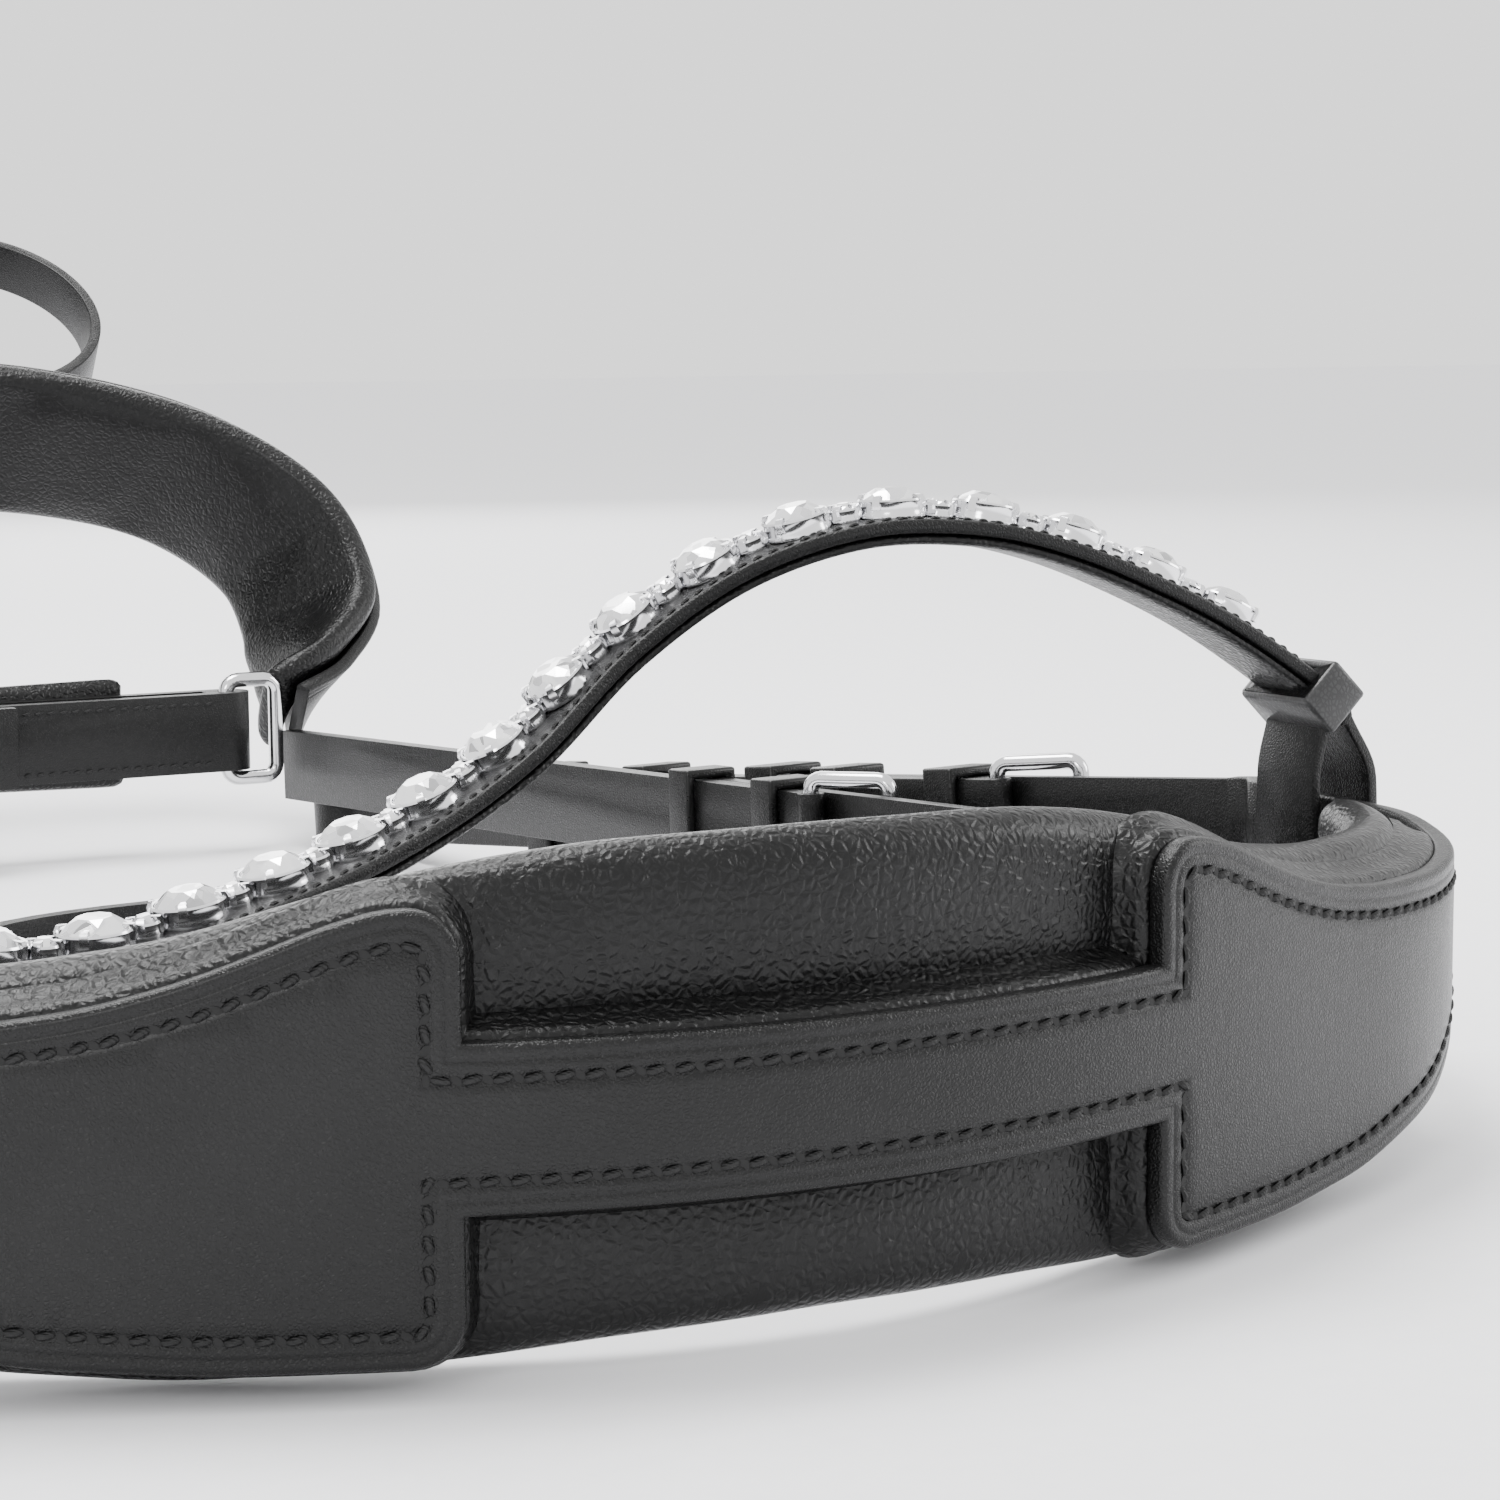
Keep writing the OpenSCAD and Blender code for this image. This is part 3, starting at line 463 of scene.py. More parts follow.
def soft_lookup(s, table, reach=6.0):
    """A table read with its corners rounded off."""
    a = np.abs(s)
    return sum(np.interp(np.abs(a + o), *zip(*table)) for o in np.linspace(-reach, reach, 9)) / 9


def roll_section(half, t, n_flat=16, n_round=8):
    """A bar with round ends as (d, z) pairs, outer face first, from low to high."""
    r = t / 2
    z_flat = np.linspace(-half + r, half - r, n_flat)
    top = np.linspace(math.pi / 2, -math.pi / 2, n_round + 2)[1:-1]
    ends = [(r * math.sin(a), half - r + r * math.cos(a)) for a in top]
    outer = [(r, z) for z in z_flat]
    inner = [(-r, z) for z in z_flat[::-1]]
    low = [(d, -z) for d, z in ends[::-1]]
    return np.array(outer + ends + inner + low)


stations = np.arange(-PAD_END, PAD_END + 0.1, 2.2)
pad_rings = []
for s in np.append(stations, PAD_END):
    hi, lo = soft_lookup(s, PAD_HIGH), soft_lookup(s, PAD_LOW)
    near_end = max(0.0, (abs(s) - (PAD_END - 7)) / 7)
    shrink = math.sqrt(max(0.02, 1 - near_end ** 2))
    mid, half = (hi + lo) / 2, (hi - lo) / 2 - 4 * (1 - shrink)
    ring = roll_section(half, (PAD_T - 0.8) * shrink)
    z = mid + ring[:, 1]
    d = PAD_AT + ring[:, 0]
    strap_edge, ramp = 10.0, np.clip((50 - abs(s)) / 8, 0, 1)
    t = np.where(z > 0, (z - strap_edge) / (hi - strap_edge), (-z - strap_edge) / (-lo - strap_edge))
    swell = np.where((t > 0) & (t < 1), 1.0 * np.sin(math.pi * np.clip(t, 0, 1)) ** 0.7, 0) * ramp
    d = d + np.where(ring[:, 0] > 0, swell, 0)
    pad_rings.append(on_head(s, d, z))
pad_points, pad_faces = skin(pad_rings)
pad = piece("padded_lining", pad_points, pad_faces, pad_leather, None, sharp=None)
upholster(pad, 0.0009, "headpiece_pad")
print("lining faces:", len(pad.data.polygons))

# %% [markdown]
# ## Outlines laid on the headpiece
# The filler and the top leather are dog-bone shapes cut from sheet: narrow over the poll, wide in two lobes,
# then narrow again as the strap for the cheekpiece. Their outline is drawn flat, in distance and height, with
# rounded outer corners. `laid_on` steps the outline inwards, ring by ring, to make bevels, creases and sewing
# channels, and fills the middle.

# %% Dog-bone outline
LOBE_HIGH = [(54, 25.4), (59, 24.6), (66, 21.8), (76, 17.9), (88, 14.7), (102, 12.9), (120, 12.2), (150, 13.5),
             (160, 14.4), (200, 14.4)]
LOBE_LOW = [(54, -27.4), (75, -27.4), (96, -26), (120, -21), (140, -12), (154, -2.5), (166, -1.6), (200, -1.6)]
LOBE_START, CORNER, STRAP_HALF = 46.5, 6.0, 10.0


def half_outline(table, sign, grow, end):
    """One long edge of the right half, from the poll outwards."""
    start, far = LOBE_START - grow, np.interp(54, *zip(*table)) + sign * grow
    line = [(s, sign * (STRAP_HALF + grow)) for s in np.arange(0, start - 1, 2.0)]
    wall = np.linspace(sign * (STRAP_HALF + grow), far - sign * CORNER, 8)
    line += [(start, z) for z in wall]
    line += [(start + CORNER * (1 - math.cos(a)), far - sign * CORNER * (1 - math.sin(a)))
             for a in np.linspace(0, math.pi / 2, 9)[1:]]
    run = np.arange(start + CORNER + 2, end + 0.1, 2.0)
    values = np.interp(run, *zip(*table)) + sign * grow
    kernel = np.ones(5) / 5
    padded_values = np.pad(values, 2, mode="edge")
    values[2:-2] = np.convolve(padded_values, kernel, "valid")[2:-2]
    return np.array(line + list(zip(run, values)))


def dog_bone(grow, end):
    """The closed outline, round through the upper edge to the right and back along the lower."""
    top, low = half_outline(LOBE_HIGH, 1, grow, end), half_outline(LOBE_LOW, -1, grow, end)
    flip = np.array([-1, 1])
    upper = np.vstack([(top * flip)[:0:-1], top])
    lower = np.vstack([(low * flip)[:0:-1], low])
    return upper, lower


def inset(line, e, closed=True):
    """The line moved to its right by e, with mitred corners."""
    before, after = np.roll(line, 1, 0), np.roll(line, -1, 0)
    if not closed:
        before[0], after[-1] = 2 * line[0] - line[1], 2 * line[-1] - line[-2]
    a, b = unit(line - before), unit(after - line)
    na, nb = np.stack([a[:, 1], -a[:, 0]], 1), np.stack([b[:, 1], -b[:, 0]], 1)
    mitre = (na + nb) / np.maximum(1 + (na * nb).sum(1, keepdims=True), 0.35)
    return line + e * mitre


def laid_on(outline, profile, cell=3.5):
    """Points and faces of a sheet with this outline; profile lists (distance inwards, offset) from its base."""
    n, points, faces = len(outline), [], []
    loops = [inset(outline, e) for e, _ in profile]
    for (e, d), loop in zip(profile, loops):
        points.append(on_head(loop[:, 0], d, loop[:, 1]))
    for k in range(len(profile) - 1):
        faces += [(k * n + j, k * n + (j + 1) % n, (k + 1) * n + (j + 1) % n, (k + 1) * n + j) for j in range(n)]
    points = np.vstack(points)
    for k, d in ((len(profile) - 1, profile[-1][1]), (0, profile[0][1])):
        loop = loops[k]
        lo, hi = loop.min(0), loop.max(0)
        grid = [(x, y) for x in np.arange(lo[0] + cell / 2, hi[0], cell)
                for y in np.arange(lo[1] + cell / 2, hi[1], cell)]
        flat = [Vector(p) for p in loop] + [Vector(p) for p in grid]
        out, _, tris, origin, _, _ = delaunay_2d_cdt(flat, [], [list(range(n))], 1, 1e-6)
        index = []
        for v, source in zip(out, origin):
            if source and source[0] < n:
                index.append(k * n + source[0])
            else:
                points = np.vstack([points, on_head(v[0], d, v[1])[None]])
                index.append(len(points) - 1)
        faces += [tuple(index[i] for i in t) for t in tris]
    return points, faces


# %% [markdown]
# ## Filler and top leather
# The filler lifts the top leather off the lining: its sides slope down to the lining and show round the lobes.
# The top leather is 3 mm thick with a rounded, burnished edge, a fine crease along it, and a channel that the
# stitches lie in.

# %% Filler and top leather
upper, lower = dog_bone(0.0, 143)
filler_outline = np.vstack([upper, lower[::-1]])
filler_profile = [(-2.6, -2.9), (-2.3, -1.6), (-1.6, -0.6), (-1.1, 0.6), (-0.9, 1.6), (-0.5, 2.5), (0.2, 3.0)]
points, faces = laid_on(filler_outline, filler_profile)
filler = piece("raised_filler", points, faces, pad_leather, "headpiece", ["headpiece_riser"], "soft_leather", 60)

upper, lower = dog_bone(0.0, 200)
top_outline = np.vstack([upper, lower[::-1]])
edge = [(0.9 * (1 - math.cos(a)), 5.1 + 0.9 * math.sin(a)) for a in np.linspace(0, math.pi / 2, 5)]
top_profile = [(0.5, 3.0), (0.1, 3.2), (0.0, 3.7)] + edge + [
    (1.7, 6.0), (1.95, 5.84), (2.2, 6.0), (3.1, 6.05), (3.6, 5.8), (4.1, 5.66), (4.6, 5.8), (5.1, 6.05)]
points, faces = laid_on(top_outline, top_profile)
top = piece("top_leather", points, faces, strap_leather, "headpiece", ["headpiece_leather"], "bridle_leather", 70)
print("filler and top leather:", len(filler.data.polygons), len(top.data.polygons), "faces")

# %% [markdown]
# ## Rows along a line
# Stitches, needle holes and stones are all one small shape repeated along a line at an even pitch. That is a job
# for Geometry Nodes: the line becomes a curve, is divided at the pitch, and a copy stands at every point, turned
# along the line and out of the surface. The result is made real and kept as a plain mesh.

# %% The row tree
def build_row_tree():
    tree = bpy.data.node_groups.new("row_along_line", "GeometryNodeTree")
    for name, kind in (("Geometry", "NodeSocketGeometry"), ("Piece", "NodeSocketObject"), ("Pitch", "NodeSocketFloat"),
                       ("Slant", "NodeSocketFloat"), ("Finish", "NodeSocketMaterial")):
        tree.interface.new_socket(name, in_out="INPUT", socket_type=kind)
    tree.interface.new_socket("Geometry", in_out="OUTPUT", socket_type="NodeSocketGeometry")
    new, link = tree.nodes.new, tree.links.new
    given, result = new("NodeGroupInput"), new("NodeGroupOutput")
    curve, divide = new("GeometryNodeMeshToCurve"), new("GeometryNodeResampleCurve")
    divide.mode = "LENGTH"
    link(given.outputs["Geometry"], curve.inputs[0])
    link(curve.outputs[0], divide.inputs["Curve"])
    link(given.outputs["Pitch"], divide.inputs["Length"])
    source = new("GeometryNodeObjectInfo")
    link(given.outputs["Piece"], source.inputs["Object"])
    along, out = new("GeometryNodeInputTangent"), new("GeometryNodeInputNamedAttribute")
    out.data_type = "FLOAT_VECTOR"
    out.inputs["Name"].default_value = "out"
    first, second = new("FunctionNodeAlignRotationToVector"), new("FunctionNodeAlignRotationToVector")
    first.axis, second.axis, second.pivot_axis = "X", "Z", "X"
    link(along.outputs[0], first.inputs["Vector"])
    link(first.outputs[0], second.inputs["Rotation"])
    link(out.outputs[0], second.inputs["Vector"])
    slant, combine = new("FunctionNodeEulerToRotation"), new("ShaderNodeCombineXYZ")
    turn = new("FunctionNodeRotateRotation")
    turn.rotation_space = "LOCAL"
    link(given.outputs["Slant"], combine.inputs["Z"])
    link(combine.outputs[0], slant.inputs[0])
    link(second.outputs[0], turn.inputs[0])
    link(slant.outputs[0], turn.inputs[1])
    stand, real = new("GeometryNodeInstanceOnPoints"), new("GeometryNodeRealizeInstances")
    paint = new("GeometryNodeSetMaterial")
    link(divide.outputs[0], stand.inputs["Points"])
    link(source.outputs["Geometry"], stand.inputs["Instance"])
    link(turn.outputs[0], stand.inputs["Rotation"])
    link(stand.outputs[0], real.inputs[0])
    link(real.outputs[0], paint.inputs["Geometry"])
    link(given.outputs["Finish"], paint.inputs["Material"])
    link(paint.outputs[0], result.inputs[0])
    return tree


row_tree = build_row_tree()


def row(name, lines, shape, pitch, finish, body, slant=0.0, stands_for=(), sharp=40):
    """Copies of shape along lines; each line is (points, out directions) in millimetres from the poll."""
    points, edges, outs = [], [], []
    for line, out in lines:
        n = len(points)
        points += [tuple(p) for p in metres(line)]
        outs += [tuple(o) for o in unit(np.asarray(out))]
        edges += [(n + i, n + i + 1) for i in range(len(line) - 1)]
    mesh = bpy.data.meshes.new(name)
    mesh.from_pydata(points, edges, [])
    mesh.attributes.new("out", "FLOAT_VECTOR", "POINT").data.foreach_set("vector", np.array(outs, np.float32).ravel())
    o = bpy.data.objects.new(name, mesh)
    bpy.context.scene.collection.objects.link(o)
    modifier = o.modifiers.new("row", "NODES")
    modifier.node_group = row_tree
    wanted = {"Piece": shape, "Pitch": pitch / 1000, "Slant": slant, "Finish": finish}
    for item in row_tree.interface.items_tree:
        if item.in_out == "INPUT" and item.name in wanted:
            modifier[item.identifier] = wanted[item.name]
    made = baked(o)
    bpy.data.objects.remove(o)
    o = bpy.data.objects.new(name, made)
    finish_piece(o, None, body, stands_for, sharp)
    print(name, len(made.polygons), "faces")
    return o


def sew(name, lines, shape, pitch, body, slant):
    row(name, lines, shape, pitch, thread, body, slant)


def cut(line, out, start, stop):
    """The part of a line between two distances along it."""
    line, out = np.asarray(line, float), np.asarray(out, float)
    run = np.append(0, np.cumsum(np.linalg.norm(np.diff(line, axis=0), axis=1)))
    at = np.concatenate([[start], run[(run > start + 0.01) & (run < stop - 0.01)], [stop]])
    return tuple(np.stack([np.interp(at, run, a[:, k]) for k in range(3)], 1) for a in (line, out))


def length(line):
    return float(np.linalg.norm(np.diff(np.asarray(line), axis=0), axis=1).sum())


def between(lines, pitch):
    """The same lines, shortened so that their divisions fall between those of the full lines."""
    short = []
    for line, out in lines:
        step = length(line) / max(1, math.floor(length(line) / pitch + 1e-6))
        short.append(cut(line, out, step / 2, length(line) - step / 2))
    return short


def pattern(name, points, faces):
    """A small shape that rows copy, in millimetres round the origin; it is taken away at the end."""
    mesh = bpy.data.meshes.new(name)
    mesh.from_pydata([tuple(np.array(p) / 1000) for p in points], [], faces)
    weld(mesh, 1e-6)
    o = bpy.data.objects.new(name, mesh)
    bpy.context.scene.collection.objects.link(o)
    o.hide_render = True
    patterns.append(o)
    return o


patterns = []

# %% [markdown]
# ## Stitches
# A saddler's stitch is a short slanted length of waxed thread that rises out of one hole and sinks in the next.
# One stitch is a bent capsule, and a small near-black slit between two stitches stands for the awl's hole: its dark
# colour is painted shade, the shadow inside the hole.

# %% Stitch shapes and the headpiece's stitches
def stitch_shape(name, length, width):
    rings = []
    for t in np.linspace(-1, 1, 7):
        lift = 0.42 * width * (1 - t * t) - 0.10
        r = max(0.06, width / 2 * math.sqrt(max(0.0, 1 - abs(t) ** 3)))
        rings.append([(t * length / 2, r * math.cos(a), lift + 0.75 * r * math.sin(a))
                      for a in np.linspace(0, 2 * math.pi, 7)[:-1]])
    return pattern(name, *skin(rings))


stitch = stitch_shape("stitch", 2.75, 0.95)
fine_stitch = stitch_shape("fine_stitch", 2.0, 0.7)
slit_rim = [(0.85 * math.cos(a), 0.48 * math.sin(a), 0.08) for a in np.linspace(0, 2 * math.pi, 9)[:-1]]
slit = pattern("awl_slit", slit_rim + [(0, 0, 0.13)], [(i, (i + 1) % 8, 8) for i in range(8)])
PITCH, FINE_PITCH = 3.5, 2.8
STITCH_LEAN, FINE_LEAN, HOLE_LEAN = math.radians(14), math.radians(12), math.radians(-38)


def head_line(outline, e, d, end):
    """A line e inside the outline, on the face at offset d, cut at distance end."""
    line = inset(outline, e, closed=False)
    line = line[np.abs(line[:, 0]) < end]
    p = on_head(line[:, 0], d, line[:, 1])
    out = p - on_head(line[:, 0], d - 1, line[:, 1])
    return p, out


sewn = [head_line(upper, 4.1, 5.74, 192), head_line(lower[::-1], 4.1, 5.74, 192)]
sew("headpiece_stitches", sewn, stitch, PITCH, "headpiece", STITCH_LEAN)
# Near-black slits laid just over the leather between the stitches: painted shade for the shadow inside each awl hole.
row("headpiece_awl_holes", between(sewn, PITCH), slit, PITCH, awl_hole_shade_finish, "headpiece", slant=HOLE_LEAN)

# %% [markdown]
# ## Straps with a frame of their own
# The long straps are flat, straight pieces that stand on edge, so each is described in its own frame: x along the
# strap, z across it, and the outer face towards -y. Many of them are already right in the bridle's frame and need
# only what a saddler gives them: rounded, burnished edges and stitches. `dressed` copies such a piece,
# joins its triangles into faces, rounds the edges, and paints the rounding with the edge finish.

# %% Dressing a strap
def dressed(node, finish=strap_leather, edge_finish=edge_leather, rounding=0.45):
    source = nodes[node]
    mesh = source.data.copy()
    weld(mesh, 1e-6, level=True)
    o = bpy.data.objects.new(node + "_finished", mesh)
    mesh.materials.clear()
    mesh.materials.append(finish)
    mesh.materials.append(edge_finish)
    for polygon in mesh.polygons:
        polygon.material_index = 0
    bpy.context.scene.collection.objects.link(o)
    bevel = o.modifiers.new("rounding", "BEVEL")
    bevel.width, bevel.segments, bevel.limit_method = rounding / 1000, 2, "ANGLE"
    bevel.angle_limit, bevel.material = math.radians(35), 1
    made = baked(o)
    o.modifiers.clear()
    o.data = made
    made.shade_smooth()
    made.set_sharp_from_angle(angle=math.radians(35))
    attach(o, source["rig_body"])
    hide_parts(node)
    return o


SIDES = (("left", -1), ("right", 1))
for side_name, _ in SIDES:
    for node in ("cheek_point_", "cheekpiece_", "bit_billet_", "hanger_", "noseband_branch_", "throat_branch_"):
        dressed(node + side_name)
    for node in ("cheek_keepers_", "cheek_runner_", "hanger_keepers_"):
        dressed(node + side_name, rounding=0.6)
    for node in ("cheek_tongue_", "hanger_tongue_", "throat_tongue_", "hook_stud_"):
        dressed(node + side_name, steel, steel, rounding=0.35)
for node in ("jaw_strap", "flash_strap", "throat_strap", "throat_points"):
    dressed(node)
for node in ("jaw_keepers", "flash_runner", "flash_tab", "throat_keepers"):
    dressed(node, rounding=0.6)
for node in ("jaw_tongue", "flash_tongue", "jaw_roller"):
    dressed(node, steel, steel, rounding=0.35)

# %% [markdown]
# ## The browband
# The browband is a strap that was curved while wet, so that it keeps its wave: high over one side of the forehead
# as it lies here, low on the other. Its rows give a centre and the direction of its width, and from these come a
# smooth line and a section with rounded edges. A softer lining is glued inside.

# %% Bands along a line
def frames_of(rows):
    c, w = rows[:, :3], rows[:, 3:6]
    t = unit(np.vstack([c[1:2] - c[:1], c[2:] - c[:-2], c[-1:] - c[-2:-1]]))
    w = unit(w - (w * t).sum(1, keepdims=True) * t)
    return c, w, np.cross(t, w)


def strap_section(half, inner, outer, r=0.7, crease=None, channel=None):
    """(b, n) pairs round a strap: its outer face first, then its inner one. A channel is where stitches lie."""
    way = 1 if outer > inner else -1
    top = [(half - r * (1 - math.cos(a)), outer - way * r * (1 - math.sin(a))) for a in np.linspace(0, math.pi / 2, 4)]
    for at, deep in ((crease, 0.22), (channel, 0.3)):
        if at:
            top += [(half - at + 0.45, outer), (half - at, outer - way * deep), (half - at - 0.45, outer)]
    face = [(b, outer) for b in np.linspace(top[-1][0], -top[-1][0], 6)[1:-1]]
    side = top + face + [(-b, n) for b, n in top[::-1]]
    back_edge = inner + way * 0.3
    return np.array(side + [(-half, back_edge), (-half + 0.3, inner), (half - 0.3, inner), (half, back_edge)])


def band(c, w, n, section, widths=None):
    """A strap along centres c; section is fixed, or a function of the half width where widths change."""
    rings = []
    for i in range(len(c)):
        s = section(widths[i] / 2) if callable(section) else section
        rings.append(c[i] + s[:, :1] * w[i] + s[:, 1:] * n[i])
    return skin(rings)


# %% Browband strap and lining
BROW = [(141.4, 97, 57.5, 0, 1, 0), (139.4, 97, 61.5, 0, 1, 0), (123, 98, 72.5, .03, 1, 0),
        (107, 99, 80.5, .06, 1, 0), (91.5, 101, 86.5, .08, 1, 0), (77, 103, 89.5, .08, 1, 0),
        (60, 106, 89.3, .08, 1, 0), (42, 110, 83.5, .04, 1, 0), (24, 111, 72.5, 0, 1, 0),
        (5, 106, 58.5, 0, 1, 0), (-18, 98, 48.5, 0, 1, 0), (-46, 87, 42, 0, 1, .02),
        (-72, 80, 38.8, 0, 1, .04), (-97, 82, 41, 0, 1, .04), (-116, 88, 47, 0, 1, .02),
        (-131, 94.5, 55, 0, 1, 0), (-139.4, 97, 59.5, 0, 1, 0), (-141.4, 97, 57, 0, 1, 0)]
brow_c, brow_w, brow_n = frames_of(smooth_rows(BROW, 8))
BROW_HALF, BROW_T = 7.5, 2.2
brow_section = strap_section(BROW_HALF, 0, -BROW_T, 0.6)
piece("browband_leather", *band(brow_c, brow_w, brow_n, brow_section), strap_leather, "browband", ["browband_strap"],
      "bridle_leather", 50)
around = np.linspace(0, 2 * math.pi, 29)[:-1]
lining_section = np.stack([np.sign(np.cos(around)) * np.abs(np.cos(around)) ** 0.4 * 7.2,
                           0.95 + np.sign(np.sin(around)) * np.abs(np.sin(around)) ** 0.7 * 0.9], 1)
piece("browband_soft_lining", *band(brow_c[6:-6], brow_w[6:-6], brow_n[6:-6], lining_section), pad_leather, "browband",
      ["browband_lining"], "lining_leather", 60)
brow_line = brow_c - brow_n * BROW_T
brow_length = length(brow_line)
print("browband length:", round(brow_length), "mm")

# %% [markdown]
# At each end the browband turns round the cheek strap and is sewn to itself under a keeper, which leaves an open
# loop that slides along the headpiece.

# %% Browband loops and keepers
LOOP = [(-3.6, 61), (-4.6, 56.5), (-6.0, 51), (-6.3, 46), (-6.3, 36), (-6.2, 30), (-5.2, 26.6), (-1, 26), (3.2, 26.6),
        (5.0, 30), (5.0, 38), (5.0, 46), (4.2, 51), (0.6, 57), (-1.6, 61)]
loop_path = smooth_rows([(x, 0, z, 0, 0, 0) for x, z in LOOP], 4)[:, :3]
for side_name, way in SIDES:
    rows = np.hstack([loop_path, np.tile([0.0, 1.0, 0.0], (len(loop_path), 1))])
    c, w, n = frames_of(rows)
    lift = np.array([142.9, 97, -1.5 if way < 0 else 0])
    points, faces = band(c, w, n, strap_section(BROW_HALF, -0.9, 0.9, 0.5))
    points = (points + lift) * np.array([way, 1, 1])
    piece("browband_loop_leather_" + side_name, points, faces, strap_leather, "browband",
          ["browband_loop_" + side_name], "bridle_leather", 50)
# The keepers are painted about eight times lighter than the straps. This is painted sheen for the light they catch, and
# their clear coat is also stronger.
keeper_with_painted_sheen = leather("keeper_hide_with_painted_sheen", 0.035, 0.3, 0.0008, 0.00004, 0.1, 0.4)
dressed("browband_keepers", keeper_with_painted_sheen, keeper_with_painted_sheen, rounding=0.9)

# %% [markdown]
# ## Stones in their settings
# Large crystals alternate with small ones. Each sits in a silver cup whose rim is pressed over it by four claws.
# A stone is cut with a flat table, a ring of crown facets and a girdle, and its faces stay flat so that each
# mirrors something else. The row tree sets them along the band.

# %% Stones
def cut_stone(name, r, low, girdle, topz, sides):
    """Girdle, crown facets and a flat table, with this many facets round the table."""
    def ring(radius, z, count, twist=0.0):
        angles = [2 * math.pi * (i + twist) / count for i in range(count)]
        return [(radius * math.cos(a), radius * math.sin(a), z) for a in angles]

    n, crown = sides, girdle + (topz - girdle) * 0.55
    points = (ring(r * 0.96, low, 2 * n) + ring(r, girdle, 2 * n) + ring(r * 0.80, crown, n, 0.5)
              + ring(r * 0.52, topz, n) + [(0, 0, low)])
    a, b, c, d, centre = 0, 2 * n, 4 * n, 5 * n, 6 * n
    faces = [(a + i, a + (i + 1) % (2 * n), b + (i + 1) % (2 * n), b + i) for i in range(2 * n)]
    faces += [(a + (i + 1) % (2 * n), a + i, centre) for i in range(2 * n)]
    for i in range(n):
        j = (i + 1) % n
        faces += [(b + 2 * i, b + 2 * i + 1, c + i), (b + 2 * i + 1, b + (2 * i + 2) % (2 * n), c + i)]
        faces += [(c + i, b + 2 * j, c + j), (d + j, c + i, c + j), (d + i, c + i, d + j)]
    faces.append(tuple(d + i for i in range(n)))
    return pattern(name, points, faces)


def setting(name, r, high):
    """A turned cup with a rolled rim and four claws bent over the stone."""
    wall = [(0.0, 0.0), (r + 0.55, 0.0), (r + 0.6, 0.5), (r + 0.45, 0.9), (r + 0.45, high - 0.7),
            (r + 0.62, high - 0.3), (r + 0.45, high), (r + 0.08, high - 0.1), (r + 0.06, 0.7), (0.0, 0.7)]
    n, m = 28, len(wall)
    points = [(x * math.cos(2 * math.pi * i / n), x * math.sin(2 * math.pi * i / n), z)
              for i in range(n) for x, z in wall]
    faces = [(i * m + k, (i + 1) % n * m + k, (i + 1) % n * m + k + 1, i * m + k + 1)
             for i in range(n) for k in range(m - 1)]
    for q in range(4):
        a = math.pi / 4 + q * math.pi / 2
        out, along = np.array([math.cos(a), math.sin(a), 0]), np.array([-math.sin(a), math.cos(a), 0])
        base = len(points)
        spine = [(r + 0.5, high - 1.6, 0.62), (r + 0.62, high - 0.2, 0.6), (r + 0.25, high + 0.55, 0.5),
                 (r - 0.55, high + 0.62, 0.3)]
        for x, z, half in spine:
            for side, rise in ((-1, -0.28), (1, -0.28), (1, 0.28), (-1, 0.28)):
                points.append(tuple(out * (x + rise) + along * half * side + np.array([0, 0, z])))
        faces += [(base + 4 * i + j, base + 4 * i + (j + 1) % 4, base + 4 * i + 4 + (j + 1) % 4, base + 4 * i + 4 + j)
                  for i in range(3) for j in range(4)]
        faces += [tuple(base + j for j in (3, 2, 1, 0)), tuple(base + 12 + j for j in range(4))]
    return pattern(name, points, faces)


STONE_PITCH, LARGE_REACH, SMALL_REACH = 14.99, 135, 127.5
LARGE_R, SMALL_R = 4.6, 1.8
large_line, small_line = [
    [cut(brow_line, -brow_n, brow_length / 2 - reach, brow_length / 2 + reach)] for reach in (LARGE_REACH, SMALL_REACH)]
for size, line, cuts in (("large", large_line, (LARGE_R, 1.0, 2.7, 4.5, 8)),
                         ("small", small_line, (SMALL_R, 0.8, 1.9, 2.9, 6))):
    row(size + "_crystals", line, cut_stone(size + "_stone", *cuts), STONE_PITCH, glass_stone, "browband",
        stands_for=[size + "_stones"], sharp=5)
for size, line, turned in (("large", large_line, (LARGE_R, 2.9)), ("small", small_line, (SMALL_R, 2.1))):
    row(size + "_silver_settings", line, setting(size + "_cup", *turned), STONE_PITCH, silver, "browband",
        stands_for=["stone_settings"], sharp=45)


def band_line(c, w, n, b, depth, start, stop):
    line = c + w * np.reshape(b, (-1, 1)) + n * depth
    return cut(line, (n if depth > 0 else -n), start, stop)


brow_sewn = [band_line(brow_c, brow_w, brow_n, b, -2.19, 14, brow_length - 14) for b in (-6.4, 6.4)]
sew("browband_stitches", brow_sewn, fine_stitch, 2.6, "browband", FINE_LEAN)

# %% [markdown]
# ## The noseband
# The nose piece is a wide padded arch. Its lining is a flat cushion of soft hide with rolled edges, and a narrower
# band of strap leather is sewn over the outside. Both follow one line, from ring to ring over the nose.

# %% Nose piece
NOSE = [(0, 482, 95.5, 0, -.6, .8), (38, 478.5, 94, .08, -.6, .79), (72, 467, 85.5, .33, -.7, .62),
        (93, 450, 70, .52, -.77, .38), (97, 435.5, 53, .5, -.82, .24), (89.5, 422, 39.5, .3, -.75, .5),
        (79.5, 413.5, 31, .1, -.4, .9)]
nose_rows = [(-x, y, z, -a, b, c) for x, y, z, a, b, c in NOSE[:0:-1]] + NOSE
nose_c, nose_w, nose_n = frames_of(smooth_rows(nose_rows, 10))
share = np.abs(np.linspace(-1, 1, len(nose_c)))
NOSE_WIDTH, NOSE_T = 45, 6.4
nose_widths = NOSE_WIDTH * (1 - 0.12 * share) - np.where(share > 0.72, (share - 0.72) * 55, 0)
cushion = []
